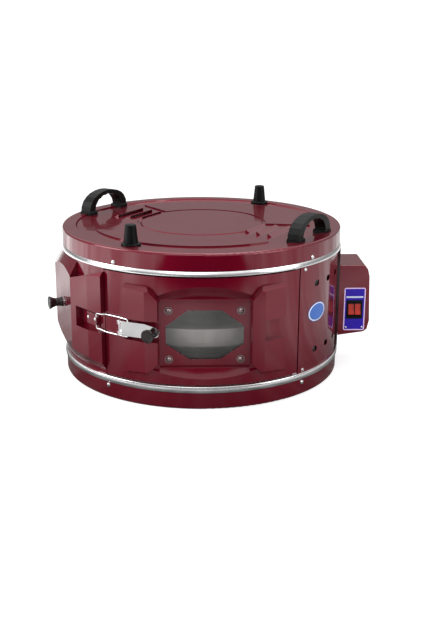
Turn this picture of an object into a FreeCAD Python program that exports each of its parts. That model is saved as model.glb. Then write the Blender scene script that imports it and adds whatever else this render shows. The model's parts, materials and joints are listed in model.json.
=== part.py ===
import FreeCAD, Part
import os
import re
import Sketcher
from FreeCAD import Placement, Rotation, Vector

# A round countertop drum oven: a pressed steel drum with a hinged window door, a draw
# latch, a lift-off lid on legs, two ring heaters and a switch box on its right side.
# Millimetres. +Z is up, the window faces -Y, and the origin is the middle of the foot.
# An azimuth is measured from the front (-Y), and is positive towards the switch box (+X).

doc = FreeCAD.newDocument("drum_oven")

SIZES = {
    # drum, lid and pan
    "sheet_wall": 1.2,
    "thin_wall": 0.8,
    "drum_radius": 229.0,
    "drum_foot": 14.0,
    "drum_top": 214.6,
    "seat_gap": 0.3,
    "slip_gap": 0.2,
    "pan_wall_top": 35.4,
    "pan_floor": 6.0,
    "pan_swage_inset": 29.0,
    "pan_swage_inner": 90.0,
    "pan_swage_slope": 12.0,
    "pan_corner": 5.0,
    "hoop_stand_off": 1.0,
    "hoop_wall": 1.0,
    "lower_hoop_base": 27.0,
    "lower_hoop_tall": 10.0,
    "upper_hoop_base": 208.5,
    "upper_hoop_tall": 7.7,
    "hoop_corner": 1.2,
    # door opening
    "hinge_side_azimuth": 39.1,
    "latch_side_azimuth": 41.2,
    "door_foot": 39.2,
    "door_head": 206.0,
    "opening_foot": 37.3,
    "opening_head": 208.6,
    "hinge_gap": 2.5,
    "latch_gap": 1.4,
    "door_depth": 24.0,
    # window recess in the door
    "window_inset": 16.0,
    "recess_low": 61.0,
    "recess_high": 170.0,
    "upper_ledge_drop": 23.0,
    "lower_ledge_drop": 12.0,
    "opening_half_width": 68.5,
    "opening_low": 62.6,
    "opening_high": 167.0,
    "window_set_back": 5.0,
    "frame_wall": 1.5,
    "frame_overlap": 5.0,
    "pane_half_width": 59.0,
    "pane_low": 73.6,
    "pane_high": 151.0,
    "pane_side_low": 98.0,
    "pane_side_high": 126.6,
    "pane_flat_low": 23.0,
    "pane_flat_high": 26.0,
    "glass_wall": 4.0,
    "glass_overlap": 7.0,
    "gasket_wall": 1.0,
    "clamp_wall": 1.5,
    "bolt_half_spacing": 54.4,
    "bolt_low": 74.2,
    "bolt_high": 151.0,
    "bolt_shank": 2.5,
    "bolt_head": 4.6,
    "bolt_washer": 6.2,
    "bolt_clearance": 0.2,
    # raised fields pressed in the door and the drum
    "field_head": 191.5,
    "field_foot": 51.0,
    "field_rise": 11.0,
    "field_edge_drop": 2.6,
    "field_top_slope": 8.0,
    "field_low_slope": 7.0,
    "field_corner_wide": 19.0,
    "field_corner_tall": 20.0,
    "channel_low": 106.0,
    "channel_high": 138.6,
    "door_field_azimuth": 24.3,
    "door_field_half": 6.9,
    "door_field_ridge": 2.2,
    # faceted bulge at the left of the drum: azimuths of its corners and their rise
    "field_root": 24.0,
    "bulge_start": 41.6,
    "bulge_start_rise": 8.4,
    "bulge_knee": 48.5,
    "bulge_knee_rise": 11.0,
    "bulge_crease": 59.2,
    "bulge_crease_rise": 14.0,
    "bulge_side": 84.0,
    "bulge_side_rise": 15.5,
    "bulge_turn": 96.0,
    "bulge_turn_rise": 14.0,
    "bulge_end": 106.0,
    "bulge_end_rise": 6.0,
    "bulge_head": 206.0,
    "bulge_foot": 44.0,
    "bulge_reach": 20.0,
    "bulge_top_slope": 1.2,
    "bulge_low_slope": 1.55,
    "side_top_slope": 1.65,
    "side_low_slope": 2.4,
    "bulge_corner_wide": 45.0,
    "bulge_corner_low": 181.0,
    "bulge_corner_high": 194.0,
    "channel_end": 56.0,
    # vent holes in the drum
    "vent_radius": 4.75,
    "vent_slot_long": 3.5,
    "vent_first_azimuth": 50.2,
    "vent_pitch": 9.6,
    "vent_count": 3,
    "vent_high": 176.0,
    "vent_low": 68.0,
    # hinge
    "hinge_inset": 3.8,
    "hinge_setback": 4.0,
    "hinge_tube_radius": 2.5,
    "hinge_pin_radius": 1.5,
    "hinge_fit": 0.05,
    "hinge_pin_long": 15.0,
    "bracket_wall": 1.2,
    "bracket_tall": 13.0,
    "bracket_wide": 16.0,
    "rivet_radius": 3.0,
    "rivet_dome": 1.8,
    "rivet_shank": 1.6,
    "door_clearance": 0.6,
    # inner steelwork
    "liner_inset": 21.0,
    "liner_foot": 37.0,
    "liner_head": 209.0,
    "post_flange": 6.0,
    "ring_wall": 1.0,
    "top_ring_base": 209.6,
    "spigot_top": 224.0,
    "sill_ring_top": 37.0,
    "sill_ring_foot": 26.0,
    "floor_dish_inset": 39.0,
    "floor_dish_drop": 5.0,
    "floor_wall": 0.8,
    # screws through the pan and the lid skirt
    "screw_head": 3.4,
    "screw_dome": 2.4,
    "screw_shank": 1.8,
    "pan_screw_height": 21.5,
    "pan_screw_azimuth": 41.8,
    "lid_screw_height": 220.7,
    "lid_screw_azimuth": 45.8,
    "screw_spread": 82.0,
    # heaters
    "heater_tube": 4.0,
    "heater_lead_half": 14.0,
    "lower_loop_radius": 150.0,
    "lower_loop_height": 46.0,
    "lower_lead_height": 78.0,
    "riser_inset": 32.0,
    "upper_loop_inset": 36.0,
    "upper_loop_height": 164.0,
    "lead_bend": 10.0,
    "lead_stand_off": 15.0,
    "lead_hole": 5.5,
    "clip_wall": 3.0,
    "bush_flange": 2.4,
    "bush_flange_radius": 8.0,
    "bush_long": 6.0,
    # tray and its stand
    "tray_inset": 49.0,
    "tray_tall": 33.0,
    "tray_base": 80.0,
    "tray_wall": 1.0,
    "tray_taper": 6.0,
    "tray_rim": 2.4,
    "stand_ring_radius": 120.0,
    "stand_wire": 3.0,
    # draw latch
    "latch_height": 122.3,
    "latch_azimuth": 24.8,
    "pivot_stand_off": 7.0,
    "pivot_azimuth": 33.0,
    "lever_long": 67.5,
    "lever_half_tall": 11.2,
    "lever_wall": 1.2,
    "lever_cover": 3.0,
    "tongue_radius": 8.0,
    "lever_flange_long": 38.0,
    "ear_radius": 4.2,
    "latch_base_long": 28.0,
    "latch_pin": 1.5,
    "bail_arm": 14.0,
    "bail_over_centre": 0.8,
    "bail_wire": 1.2,
    "bail_hook_azimuth": 45.3,
    "bail_hook_stand_off": 4.2,
    "bail_half_wide": 14.2,
    "bail_half_narrow": 12.2,
    "bail_clearance": 0.1,
    "bail_bend": 2.6,
    "hook_slack": 0.9,
    "hook_wall": 1.5,
    "hook_tall": 6.0,
    "hook_head_stand_off": 7.2,
    "catch_long": 40.0,
    "catch_half_tall": 9.5,
    "catch_wall": 1.2,
    "catch_rivet_spread": 9.0,
    "catch_rivet_shank": 1.6,
    "catch_rivet_head": 2.6,
    "catch_rivet_dome": 0.9,
    "latch_rivet_shank": 1.4,
    "latch_rivet_head": 2.4,
    "latch_rivet_dome": 0.8,
    # knobs
    "knob_long": 21.5,
    "knob_radius": 10.4,
    "knob_waist": 6.6,
    "knob_base": 7.6,
    "knob_edge": 2.0,
    "knob_from_tip": 9.0,
    "side_knob_azimuth": 70.75,
    "side_knob_height": 129.0,
    "side_stud_radius": 3.0,
    "side_stand_off": 1.5,
    "side_washer_radius": 8.2,
    "side_washer_wall": 1.5,
    # lid
    "lid_overhang": 1.4,
    "lid_skirt_base": 216.5,
    "lid_rim_top": 243.3,
    "lid_corner": 3.5,
    "lid_deck_inset": 23.0,
    "lid_deck_drop": 2.2,
    "lid_disc_radius": 100.0,
    "lid_bead": 2.0,
    "sector_inner": 107.0,
    "sector_inset": 49.0,
    "sector_half_angle": 66.5,
    "handle_azimuth": 57.0,
    "louvre_first": 104.0,
    "louvre_pitch": 22.0,
    "louvre_first_long": 58.0,
    "louvre_growth": 8.0,
    "louvre_wide": 8.0,
    "louvre_rise": 4.5,
    "louvre_count": 3,
    "fitting_inset": 27.0,
    "lid_screw": 2.0,
    "lid_screw_head": 4.0,
    "lid_screw_head_tall": 2.2,
    "lid_screw_long": 12.0,
    "leg_top_radius": 8.4,
    "leg_base_radius": 11.2,
    "leg_flange_radius": 15.0,
    "leg_flange_wall": 3.0,
    "leg_tall": 31.0,
    "leg_chamfer": 1.0,
    "right_handle_azimuth": 55.0,
    "handle_tall": 35.5,
    "handle_span": 87.0,
    "handle_strap": 6.0,
    "handle_strap_wide": 19.5,
    "handle_foot_long": 20.0,
    "handle_foot_wide": 22.0,
    "handle_foot_tall": 4.5,
    "handle_leg": 11.0,
    "grip_bumps": 4,
    "grip_scallop": 1.6,
    "reflector_inset": 22.5,
    "reflector_drop": 14.0,
    # switch box
    "back_plate_foot": 38.0,
    "back_plate_head": 206.5,
    "back_plate_deep": 3.2,
    "back_plate_wall": 1.2,
    "box_half_wide": 42.0,
    "box_wall": 2.4,
    "box_deep": 52.8,
    "box_low_root": 54.0,
    "box_low_deep": 43.4,
    "box_low_outer": 61.4,
    "box_knee_deep": 49.4,
    "box_knee": 66.1,
    "box_side_low": 81.2,
    "box_side_high": 158.0,
    "box_side_high_deep": 50.0,
    "box_shoulder_deep": 47.0,
    "box_shoulder": 170.0,
    "box_head_deep": 42.0,
    "box_head": 176.5,
    "box_corner": 3.0,
    "box_edge": 1.5,
    "label_wide": 35.6,
    "label_tall": 74.0,
    "label_wall": 0.8,
    "label_low": 64.5,
    "label_stand_off": 26.6,
    "switch_wide": 27.0,
    "switch_tall": 32.0,
    "switch_height": 101.0,
    "switch_rim": 1.4,
    "switch_body_long": 22.0,
    "rocker_wide": 9.4,
    "rocker_radius": 10.0,
    "rocker_pitch": 11.0,
    "rocker_tilt": 11.0,
    "rocker_gap": 0.35,
    "rocker_valley": 2.8,
    "rocker_back": 6.0,
    "rocker_pin": 1.2,
    "switch_bezel_proud": 1.6,
    "terminal_long": 30.0,
    "terminal_height": 125.0,
    "terminal_deep": 14.0,
    "terminal_tall": 16.0,
    "terminal_screw": 2.2,
    "gland_height": 84.0,
    "gland_radius": 9.0,
    "gland_bore": 4.0,
    "gland_neck": 6.5,
    "gland_inside": 8.0,
    "gland_flange": 3.0,
    "gland_outside": 7.0,
}

# Distances from the axis that are measured from the drum's wall.
FROM_WALL = {
    "pan_swage_outer": "- pan_swage_inset",
    "window_plane": "- window_inset",
    "liner_radius": "- liner_inset",
    "floor_dish_radius": "- floor_dish_inset",
    "upper_loop_radius": "- upper_loop_inset",
    "lower_riser_out": "- riser_inset",
    "lead_out": "+ lead_stand_off",
    "tray_radius": "- tray_inset",
    "lid_radius": "+ lid_overhang",
    "lid_deck_radius": "- lid_deck_inset",
    "sector_outer": "- sector_inset",
    "fitting_radius": "- fitting_inset",
    "reflector_radius": "- reflector_inset",
    "pivot_radius": "+ pivot_stand_off",
    "bail_hook_radius": "+ bail_hook_stand_off",
    "hook_head_radius": "+ hook_head_stand_off",
    "label_centre": "+ label_stand_off",
    "box_reach": "+ box_deep",
    "box_low_reach": "+ box_low_deep",
    "box_knee_reach": "+ box_knee_deep",
    "box_side_high_reach": "+ box_side_high_deep",
    "box_shoulder_reach": "+ box_shoulder_deep",
    "box_head_reach": "+ box_head_deep",
}

sheet = doc.addObject("Spreadsheet::Sheet", "sizes")
for row, (size_name, size_value) in enumerate(SIZES.items(), start=1):
    sheet.set("A%d" % row, size_name)
    sheet.set("B%d" % row, str(size_value))
    sheet.setAlias("B%d" % row, size_name)
doc.recompute()

parts = {}
FULL_TURN = 360
NAME = re.compile(r"[a-z][a-z_]*")
THROUGH = "600"


# ---------------------------------------------------------------- formulas and sketches

def spelled(text):
    """The formula with every distance from the axis written out from the drum's wall."""
    def full(hit):
        name = hit.group()
        return "(drum_radius %s)" % FROM_WALL[name] if name in FROM_WALL else name
    return NAME.sub(full, text)


def linked(text):
    """The formula with every size name written as a reference to the sheet."""
    return NAME.sub(lambda hit: "sizes." + hit.group() if hit.group() in SIZES else hit.group(),
                    spelled(text))


def value(text):
    """The number that a formula of size names gives now."""
    result = sheet.evalExpression(spelled(text))
    return float(getattr(result, "Value", result))


def bind(thing, prop, text):
    thing.setExpression(prop, linked(text))


def polar(radius, azimuth):
    """The X and Y formulas of a point at a radius and an azimuth."""
    return "(%s) * sin(%s)" % (radius, azimuth), "-(%s) * cos(%s)" % (radius, azimuth)


def place(thing, base=("0", "0", "0"), turn="0", axis=(0, 0, 1)):
    """Turn a thing about one axis and move it, both by formulas."""
    thing.Placement = Placement(Vector(0, 0, 0), Rotation(Vector(*axis), 1))
    bind(thing, "Placement.Rotation.Angle", turn)
    for letter, text in zip("xyz", base):
        bind(thing, "Placement.Base." + letter, text)
    return thing


def solid(kind, name, base=("0", "0", "0"), turn="0", axis=(0, 0, 1), **dims):
    """A primitive whose dimensions and place are formulas."""
    thing = doc.addObject("Part::" + kind, name)
    for prop, text in dims.items():
        bind(thing, prop, text)
    return place(thing, base, turn, axis)


def cut(name, base, tool):
    thing = doc.addObject("Part::Cut", name)
    thing.Base = base
    thing.Tool = tool
    return thing


def fuse(name, *shapes):
    thing = doc.addObject("Part::MultiFuse", name)
    thing.Shapes = list(shapes)
    return thing


def common(name, *shapes):
    thing = doc.addObject("Part::MultiCommon", name)
    thing.Shapes = list(shapes)
    return thing


def group(name, *shapes):
    """Several separate solids in one node."""
    thing = doc.addObject("Part::Compound", name)
    thing.Links = list(shapes)
    return thing


def keep(node, thing):
    """Name a finished sub-part."""
    thing.Label = node
    parts[node] = thing
    return thing


def new_body(name):
    body = doc.addObject("PartDesign::Body", name)
    body.AllowCompound = True
    return body


def new_sketch(body, name, plane, offset=None):
    """A sketch on one of the body's own planes, moved along its normal by a formula."""
    sketch = body.newObject("Sketcher::SketchObject", name)
    support = [entry for entry in body.Origin.OriginFeatures if entry.Role == plane + "_Plane"][0]
    sketch.AttachmentSupport = [(support, "")]
    sketch.MapMode = "FlatFace"
    if offset is not None:
        bind(sketch, "AttachmentOffset.Base.z", offset)
    return sketch


def tie(sketch, kind, first, first_end, second, second_end, text):
    """One driving distance from the first point to the second."""
    index = sketch.addConstraint(
        Sketcher.Constraint(kind, first, first_end, second, second_end, value(text)))
    label = "size%d" % index
    sketch.renameConstraint(index, label)
    bind(sketch, "Constraints." + label, text)


def outline(sketch, corners):
    """Add one closed straight-sided loop with its corners at pairs of formulas."""
    first = sketch.GeometryCount
    spots = [Vector(value(x), value(y), 0) for x, y in corners]
    count = len(spots)
    for index in range(count):
        sketch.addGeometry(Part.LineSegment(spots[index], spots[(index + 1) % count]), False)
    for index in range(count):
        follower = first + (index + 1) % count
        sketch.addConstraint(Sketcher.Constraint("Coincident", first + index, 2, follower, 1))
    for index, (x, y) in enumerate(corners):
        tie(sketch, "DistanceX", -1, 1, first + index, 1, x)
        tie(sketch, "DistanceY", -1, 1, first + index, 1, y)


def ring(sketch, radius, x="0", y="0"):
    """Add one circle."""
    index = sketch.addGeometry(
        Part.Circle(Vector(value(x), value(y), 0), Vector(0, 0, 1), value(radius)), False)
    tie(sketch, "DistanceX", -1, 1, index, 3, x)
    tie(sketch, "DistanceY", -1, 1, index, 3, y)
    held = sketch.addConstraint(Sketcher.Constraint("Radius", index, value(radius)))
    sketch.renameConstraint(held, "radius%d" % index)
    bind(sketch, "Constraints.radius%d" % index, radius)


def box_loop(x0, y0, x1, y1):
    return [(x0, y0), (x1, y0), (x1, y1), (x0, y1)]


def pad(body, sketch, long, both_ways=False):
    feature = body.newObject("PartDesign::Pad", sketch.Name + "_pad")
    feature.Profile = sketch
    bind(feature, "Length", long)
    feature.Midplane = both_ways
    body.Tip = feature
    return feature


def pocket(body, sketch):
    """Cut a sketch both ways through the body."""
    feature = body.newObject("PartDesign::Pocket", sketch.Name + "_cut")
    feature.Profile = sketch
    bind(feature, "Length", THROUGH)
    feature.Midplane = True
    body.Tip = feature
    return feature


def turned(name, *loops):
    """A body turned about Z from loops of radius and height formulas."""
    body = new_body(name + "_body")
    sketch = new_sketch(body, name + "_profile", "XZ")
    for loop in loops:
        outline(sketch, loop)
    feature = body.newObject("PartDesign::Revolution", name + "_turn")
    feature.Profile = sketch
    feature.ReferenceAxis = (sketch, ["V_Axis"])
    feature.Angle = FULL_TURN
    body.Tip = feature
    return body


def rounded(body, radius, chosen):
    """Fillet the edges of the body's tip that the test chooses."""
    doc.recompute()
    base = body.Tip
    names = ["Edge%d" % (index + 1) for index, edge in enumerate(base.Shape.Edges) if chosen(edge)]
    feature = body.newObject("PartDesign::Fillet", base.Name + "_round")
    feature.Base = (base, names)
    bind(feature, "Radius", radius)
    body.Tip = feature
    return body


def circle_at(radius, height, slack=0.05):
    """A test for a full circular edge about Z."""
    def chosen(edge):
        if not hasattr(edge.Curve, "Radius"):
            return False
        same_radius = abs(edge.Curve.Radius - value(radius)) < slack
        return same_radius and abs(edge.CenterOfMass.z - value(height)) < slack
    return chosen


def prism(name, plane, loops, long, offset=None, both_ways=False):
    """A body padded from loops of formulas on one plane."""
    body = new_body(name + "_body")
    sketch = new_sketch(body, name + "_outline", plane, offset)
    for loop in loops:
        outline(sketch, loop)
    pad(body, sketch, long, both_ways)
    return body


def sector(name, radius, low, high, start, end):
    """A wedge of a cylinder between two azimuths."""
    return solid("Cylinder", name, ("0", "0", low), "(%s) - 90" % start,
                 Radius=radius, Height="(%s) - (%s)" % (high, low),
                 Angle="(%s) - (%s)" % (end, start))


def sector_ring(name, outer, inner, low, high, start, end):
    """A wall between two radii and two azimuths."""
    core = solid("Cylinder", name + "_core", ("0", "0", low + " - 5"),
                 Radius=inner, Height="(%s) - (%s) + 10" % (high, low))
    return cut(name, sector(name + "_wedge", outer, low, high, start, end), core)


def dome(name, spot, azimuth, head, rise, shank, inward):
    """A domed head on a shank, lying along the radius at an azimuth."""
    profile = new_body(name + "_body")
    sketch = new_sketch(profile, name + "_profile", "XZ")
    outline(sketch, [
        ("0", "-(%s)" % inward), (shank, "-(%s)" % inward), (shank, "0"), (head, "0"),
        (head, "(%s) * 0.3" % rise), ("(%s) * 0.8" % head, "(%s) * 0.72" % rise),
        ("(%s) * 0.4" % head, "(%s) * 0.95" % rise), ("0", rise)])
    feature = profile.newObject("PartDesign::Revolution", name + "_turn")
    feature.Profile = sketch
    feature.ReferenceAxis = (sketch, ["V_Axis"])
    feature.Angle = FULL_TURN
    profile.Tip = feature
    return lay_radial(profile, spot, azimuth)


def lay_radial(thing, spot, azimuth):
    """Lay a thing that stands on Z along the radius that leaves the drum at an azimuth."""
    radius, height = spot
    thing.Placement = Placement(Vector(0, 0, 0), radial_rotation(azimuth))
    x, y = polar(radius, azimuth)
    bind(thing, "Placement.Base.x", x)
    bind(thing, "Placement.Base.y", y)
    bind(thing, "Placement.Base.z", height)
    return thing


def radial_rotation(azimuth):
    about_z = Rotation(Vector(0, 0, 1), value(azimuth))
    return about_z.multiply(Rotation(Vector(1, 0, 0), 90))


# ---------------------------------------------------------------- pan, hoops and drum

PAN_INNER = "drum_radius + slip_gap"
PAN_OUTER = "drum_radius + slip_gap + sheet_wall"
DRUM_INNER = "drum_radius - sheet_wall"
HOOP_OUTER = "drum_radius + slip_gap + sheet_wall + hoop_stand_off + hoop_wall"
DOOR_START = "-latch_side_azimuth"
DOOR_END = "hinge_side_azimuth"


def arc_angle(length, radius="drum_radius"):
    """The angle that a length along the drum covers."""
    return "(%s) / (%s) * 180 / pi" % (length, radius)


def make_base_pan():
    """The pan: its rim and a disc in its middle rest on the table, the floor between is raised."""
    top = "pan_floor + sheet_wall"
    pan = turned("base_pan", [
        (PAN_OUTER, "pan_wall_top"), (PAN_OUTER, "0"), ("pan_swage_outer", "0"),
        ("pan_swage_outer - pan_swage_slope", "pan_floor"),
        ("pan_swage_inner + pan_swage_slope", "pan_floor"), ("pan_swage_inner", "0"), ("0", "0"),
        ("0", "sheet_wall"), ("pan_swage_inner", "sheet_wall"),
        ("pan_swage_inner + pan_swage_slope", top), ("pan_swage_outer - pan_swage_slope", top),
        ("pan_swage_outer", "sheet_wall"), (PAN_INNER, "sheet_wall"), (PAN_INNER, "pan_wall_top")])
    rounded(pan, "pan_corner", circle_at(PAN_OUTER, "0"))
    rounded(pan, "pan_corner - sheet_wall", circle_at(PAN_INNER, "sheet_wall"))
    holes = radial_row("pan_screw_hole", "pan_screw_azimuth", "screw_shank + hinge_fit",
                       ("drum_radius - 20", "pan_screw_height"))
    keep("base_pan", cut("base_pan_cut", pan, fuse("pan_holes", *holes)))


def make_hoop(node, base, tall, bottom_inner, top_inner):
    """A bright channel-section hoop with rolled corners."""
    head = "(%s) + (%s)" % (base, tall)
    hoop = turned(node, [
        (bottom_inner, base), (HOOP_OUTER, base), (HOOP_OUTER, head), (top_inner, head),
        (top_inner, head + " - hoop_wall"), (HOOP_OUTER + " - hoop_wall", head + " - hoop_wall"),
        (HOOP_OUTER + " - hoop_wall", base + " + hoop_wall"), (bottom_inner, base + " + hoop_wall")])
    rounded(hoop, "hoop_corner", circle_at(HOOP_OUTER, base))
    rounded(hoop, "hoop_corner", circle_at(HOOP_OUTER, head))
    keep(node, hoop)


def field_form(name, centre, ridge, corner_side, skin):
    """One raised field of two facets on the door.

    It is built facing -Y and then turned to its azimuth. The ridge is the azimuth from its
    middle where the facets meet. skin shrinks it on every side, for the hollow behind it.
    """
    crest = "drum_radius + field_rise - (%s)" % skin
    edge = crest + " - field_edge_drop"
    half = "door_field_half"
    reach = "%s - %s" % (half, arc_angle(skin))
    root = "drum_radius - field_root"
    loop = [polar(root, "-(%s)" % reach), polar(edge, "-(%s)" % reach), polar(crest, ridge),
            polar(edge, reach), polar(root, reach)]
    body = prism(name, "XY", [loop], "field_head - field_foot - 2 * (%s)" % skin,
                 offset="field_foot + (%s)" % skin)
    top = "field_head - (%s)" % skin
    low = "field_foot + (%s)" % skin
    near = "-drum_radius + (%s)" % skin
    far = "-drum_radius - field_rise + (%s)" % skin
    beyond = "-drum_radius - 60"
    side = new_sketch(body, name + "_side", "YZ")
    outline(side, [(near, top), (far, top + " - field_top_slope"),
                   (beyond, top + " - field_top_slope"), (beyond, top + " + 60"),
                   (near, top + " + 60")])
    outline(side, [(near, low), (far, low + " + field_low_slope"),
                   (beyond, low + " + field_low_slope"), (beyond, low + " - 60"),
                   (near, low + " - 60")])
    pocket(body, side)
    front = new_sketch(body, name + "_corners", "XZ")
    outside = "%s * ((drum_radius + 30) * sin(%s))" % (corner_side, half)
    at_edge = "%s * (drum_radius * sin(%s) - (%s))" % (corner_side, half, skin)
    inward = at_edge + " - %s * field_corner_wide" % corner_side
    outline(front, [(at_edge, top + " - field_corner_tall"), (inward, top),
                    (inward, top + " + 60"), (outside, top + " + 60"),
                    (outside, top + " - field_corner_tall")])
    outline(front, [(at_edge, low + " + field_corner_tall"), (inward, low),
                    (inward, low + " - 60"), (outside, low + " - 60"),
                    (outside, low + " + field_corner_tall")])
    pocket(body, front)
    return place(body, turn=centre)


def channel(name, start, end, skin):
    """The room of the latch channel between two azimuths, as deep as the drum's wall."""
    return sector(name, "drum_radius + 60", "channel_low - (%s)" % skin,
                  "channel_high + (%s)" % skin, start, end)


def bulge_form(name, corners, slopes, skin):
    """Upright facets between corners of azimuth and rise, under a cone and above a cone."""
    root = "drum_radius - field_root"
    loop = [polar(root, corners[0][0])]
    loop += [polar("drum_radius + %s - (%s)" % (rise, skin), turn) for turn, rise in corners]
    loop += [polar(root, corners[-1][0])]
    facets = prism(name + "_plan", "XY", [loop], "drum_top - drum_foot", offset="drum_foot")
    top_slope, low_slope = slopes
    head = "bulge_head - (%s) * sqrt(1 + %s ^ 2)" % (skin, top_slope)
    foot = "bulge_foot + (%s) * sqrt(1 + %s ^ 2)" % (skin, low_slope)
    cones = turned(name + "_cones", [
        (root, foot), ("drum_radius", foot),
        ("drum_radius + bulge_reach", foot + " + bulge_reach * " + low_slope),
        ("drum_radius + bulge_reach", head + " - bulge_reach * " + top_slope),
        ("drum_radius", head), (root, head)])
    return common(name, facets, cones)


def drum_fields(tag, skin):
    """The faceted bulge at the left of the drum, as two solids that meet at a crease."""
    shrink = arc_angle(skin)
    near = bulge_form("near_bulge_" + tag, [
        ("-bulge_start - " + shrink, "bulge_start_rise"), ("-bulge_knee", "bulge_knee_rise"),
        ("-bulge_crease + " + shrink, "bulge_crease_rise")], ("bulge_top_slope", "bulge_low_slope"),
        skin)
    low = "bulge_corner_low - (%s)" % skin
    rise = "bulge_corner_high - bulge_corner_low"
    corner = prism("bulge_corner_" + tag, "XZ", [[
        ("-bulge_corner_wide", low), ("bulge_corner_wide", low + " + 2 * (%s)" % rise),
        ("bulge_corner_wide", low + " + 60"), ("-bulge_corner_wide - 20", low + " + 60"),
        ("-bulge_corner_wide - 20", low)]], THROUGH, both_ways=True)
    place(corner, turn="-bulge_knee")
    gap = channel("bulge_channel_" + tag, "-channel_end - " + shrink, "-bulge_start + 2", skin)
    near = cut("near_bulge_cut_" + tag, near, fuse("near_bulge_tools_" + tag, corner, gap))
    far = bulge_form("far_bulge_" + tag, [
        ("-bulge_crease - " + shrink, "bulge_crease_rise"), ("-bulge_side", "bulge_side_rise"),
        ("-bulge_turn", "bulge_turn_rise"), ("-bulge_end + " + shrink, "bulge_end_rise")],
        ("side_top_slope", "side_low_slope"), skin)
    return [near, far]


def bulge_bridge():
    """The room that joins the hollows of both halves of the bulge behind the crease."""
    skin = arc_angle("2 * sheet_wall")
    return sector("bulge_bridge", "drum_radius + bulge_crease_rise - 2 * sheet_wall",
                  "bulge_foot + 36", "bulge_corner_low - 6", "-bulge_crease - " + skin,
                  "-bulge_crease + " + skin)


def vent_holes():
    """Rounded slots through the right of the drum, in a high and a low row."""
    holes = []
    for row, height in enumerate(("vent_high", "vent_low")):
        for column in range(int(value("vent_count"))):
            azimuth = "vent_first_azimuth + %d * vent_pitch" % column
            for end, sign in enumerate(("-", "+")):
                holes.append(radial_hole(
                    "vent_%d_%d_%d" % (row, column, end), "vent_radius", ("drum_radius - 20", height),
                    "%s %s %s" % (azimuth, sign, arc_angle("vent_slot_long / 2"))))
    return holes


def lead_holes(tag, radius, height):
    """Clearance holes for the two leads of a heater, along +X."""
    holes = []
    for side, sign in (("front", "-1"), ("back", "1")):
        spot = ("drum_radius - 49", sign + " * heater_lead_half", height)
        hole = solid("Cylinder", "%s_%s" % (tag, side), spot, "90", (0, 1, 0), Radius=radius,
                     Height="70")
        holes.append(hole)
    return holes


def make_drum():
    """The wrapped drum: one sheet with a pressed bulge, the door opening and vents."""
    outer_wall = solid("Cylinder", "drum_outer", ("0", "0", "drum_foot"),
                       Radius="drum_radius", Height="drum_top - drum_foot")
    inner_wall = solid("Cylinder", "drum_inner", ("0", "0", "drum_foot - 5"),
                       Radius=DRUM_INNER, Height="drum_top - drum_foot + 10")
    outer = fuse("drum_form", outer_wall, *drum_fields("outer", "0"))
    inner = fuse("drum_hollow", inner_wall, bulge_bridge(), *drum_fields("inner", "sheet_wall"))
    skin = cut("drum_skin", outer, inner)
    doorway = sector("doorway", "drum_radius + 60", "opening_foot", "opening_head",
                     DOOR_START + " - " + arc_angle("latch_gap"),
                     DOOR_END + " + " + arc_angle("hinge_gap"))
    screw_holes = radial_row("drum_screw_hole", "pan_screw_azimuth", "screw_shank + slip_gap",
                             ("drum_radius - 20", "pan_screw_height"))
    tools = fuse("drum_cutters", doorway, *vent_holes(),
                 *lead_holes("drum_upper_lead", "lead_hole", "upper_loop_height"),
                 *lead_holes("drum_lower_lead", "lead_hole", "lower_lead_height"), *screw_holes,
                 *hinge_rivet_holes("drum_hinge"), *catch_holes("drum_catch"),
                 radial_hole("drum_stud_hole", "side_stud_radius + hinge_fit",
                             ("drum_radius - 20", "side_knob_height"), "-side_knob_azimuth"))
    keep("drum_shell", cut("drum_shell_cut", skin, tools))


def radial_hole(name, radius, spot, azimuth, long="40"):
    """A hole along the radius at an azimuth, from a spot outwards."""
    return lay_radial(group(name + "_set", solid("Cylinder", name, Radius=radius, Height=long)),
                      spot, azimuth)


def radial_row(name, azimuth, radius, spot):
    """Four radial holes: a pair beside the door and the pair opposite."""
    return [radial_hole("%s_%d" % (name, index), radius, spot, text)
            for index, text in enumerate(four_azimuths(azimuth))]


def four_azimuths(azimuth):
    return [azimuth, azimuth + " - screw_spread", azimuth + " + 180 - screw_spread",
            azimuth + " + 180"]


def make_screws(node, azimuth, height, surface, inward):
    screws = [dome("%s_%d" % (node, index), (surface, height), text, "screw_head", "screw_dome",
                   "screw_shank", inward) for index, text in enumerate(four_azimuths(azimuth))]
    keep(node, group(node + "_set", *screws))


# ---------------------------------------------------------------- inner steelwork

def make_liner():
    wall = sector_ring("liner_wall", "liner_radius", "liner_radius - thin_wall", "liner_foot",
                       "liner_head", DOOR_END + " + 5", "360 - latch_side_azimuth - 5")
    holes = fuse("liner_cutters",
                 *lead_holes("liner_upper_lead", "lead_hole", "upper_loop_height"),
                 *lead_holes("liner_lower_lead", "lead_hole", "lower_lead_height"))
    keep("inner_liner", cut("inner_liner_cut", wall, holes))


def make_rings():
    inner = "liner_radius - thin_wall - slip_gap"
    outer = DRUM_INNER + " - slip_gap"
    top = "top_ring_base + ring_wall"
    keep("top_ring", turned("top_ring", [
        (inner, "top_ring_base"), (outer, "top_ring_base"), (outer, "spigot_top"),
        (outer + " - ring_wall", "spigot_top"), (outer + " - ring_wall", top), (inner, top)]))
    low = "sill_ring_top - ring_wall"
    keep("sill_ring", turned("sill_ring", [
        (inner, "sill_ring_top"), (outer, "sill_ring_top"), (outer, "sill_ring_foot"),
        (outer + " - ring_wall", "sill_ring_foot"), (outer + " - ring_wall", low), (inner, low)]))


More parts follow.
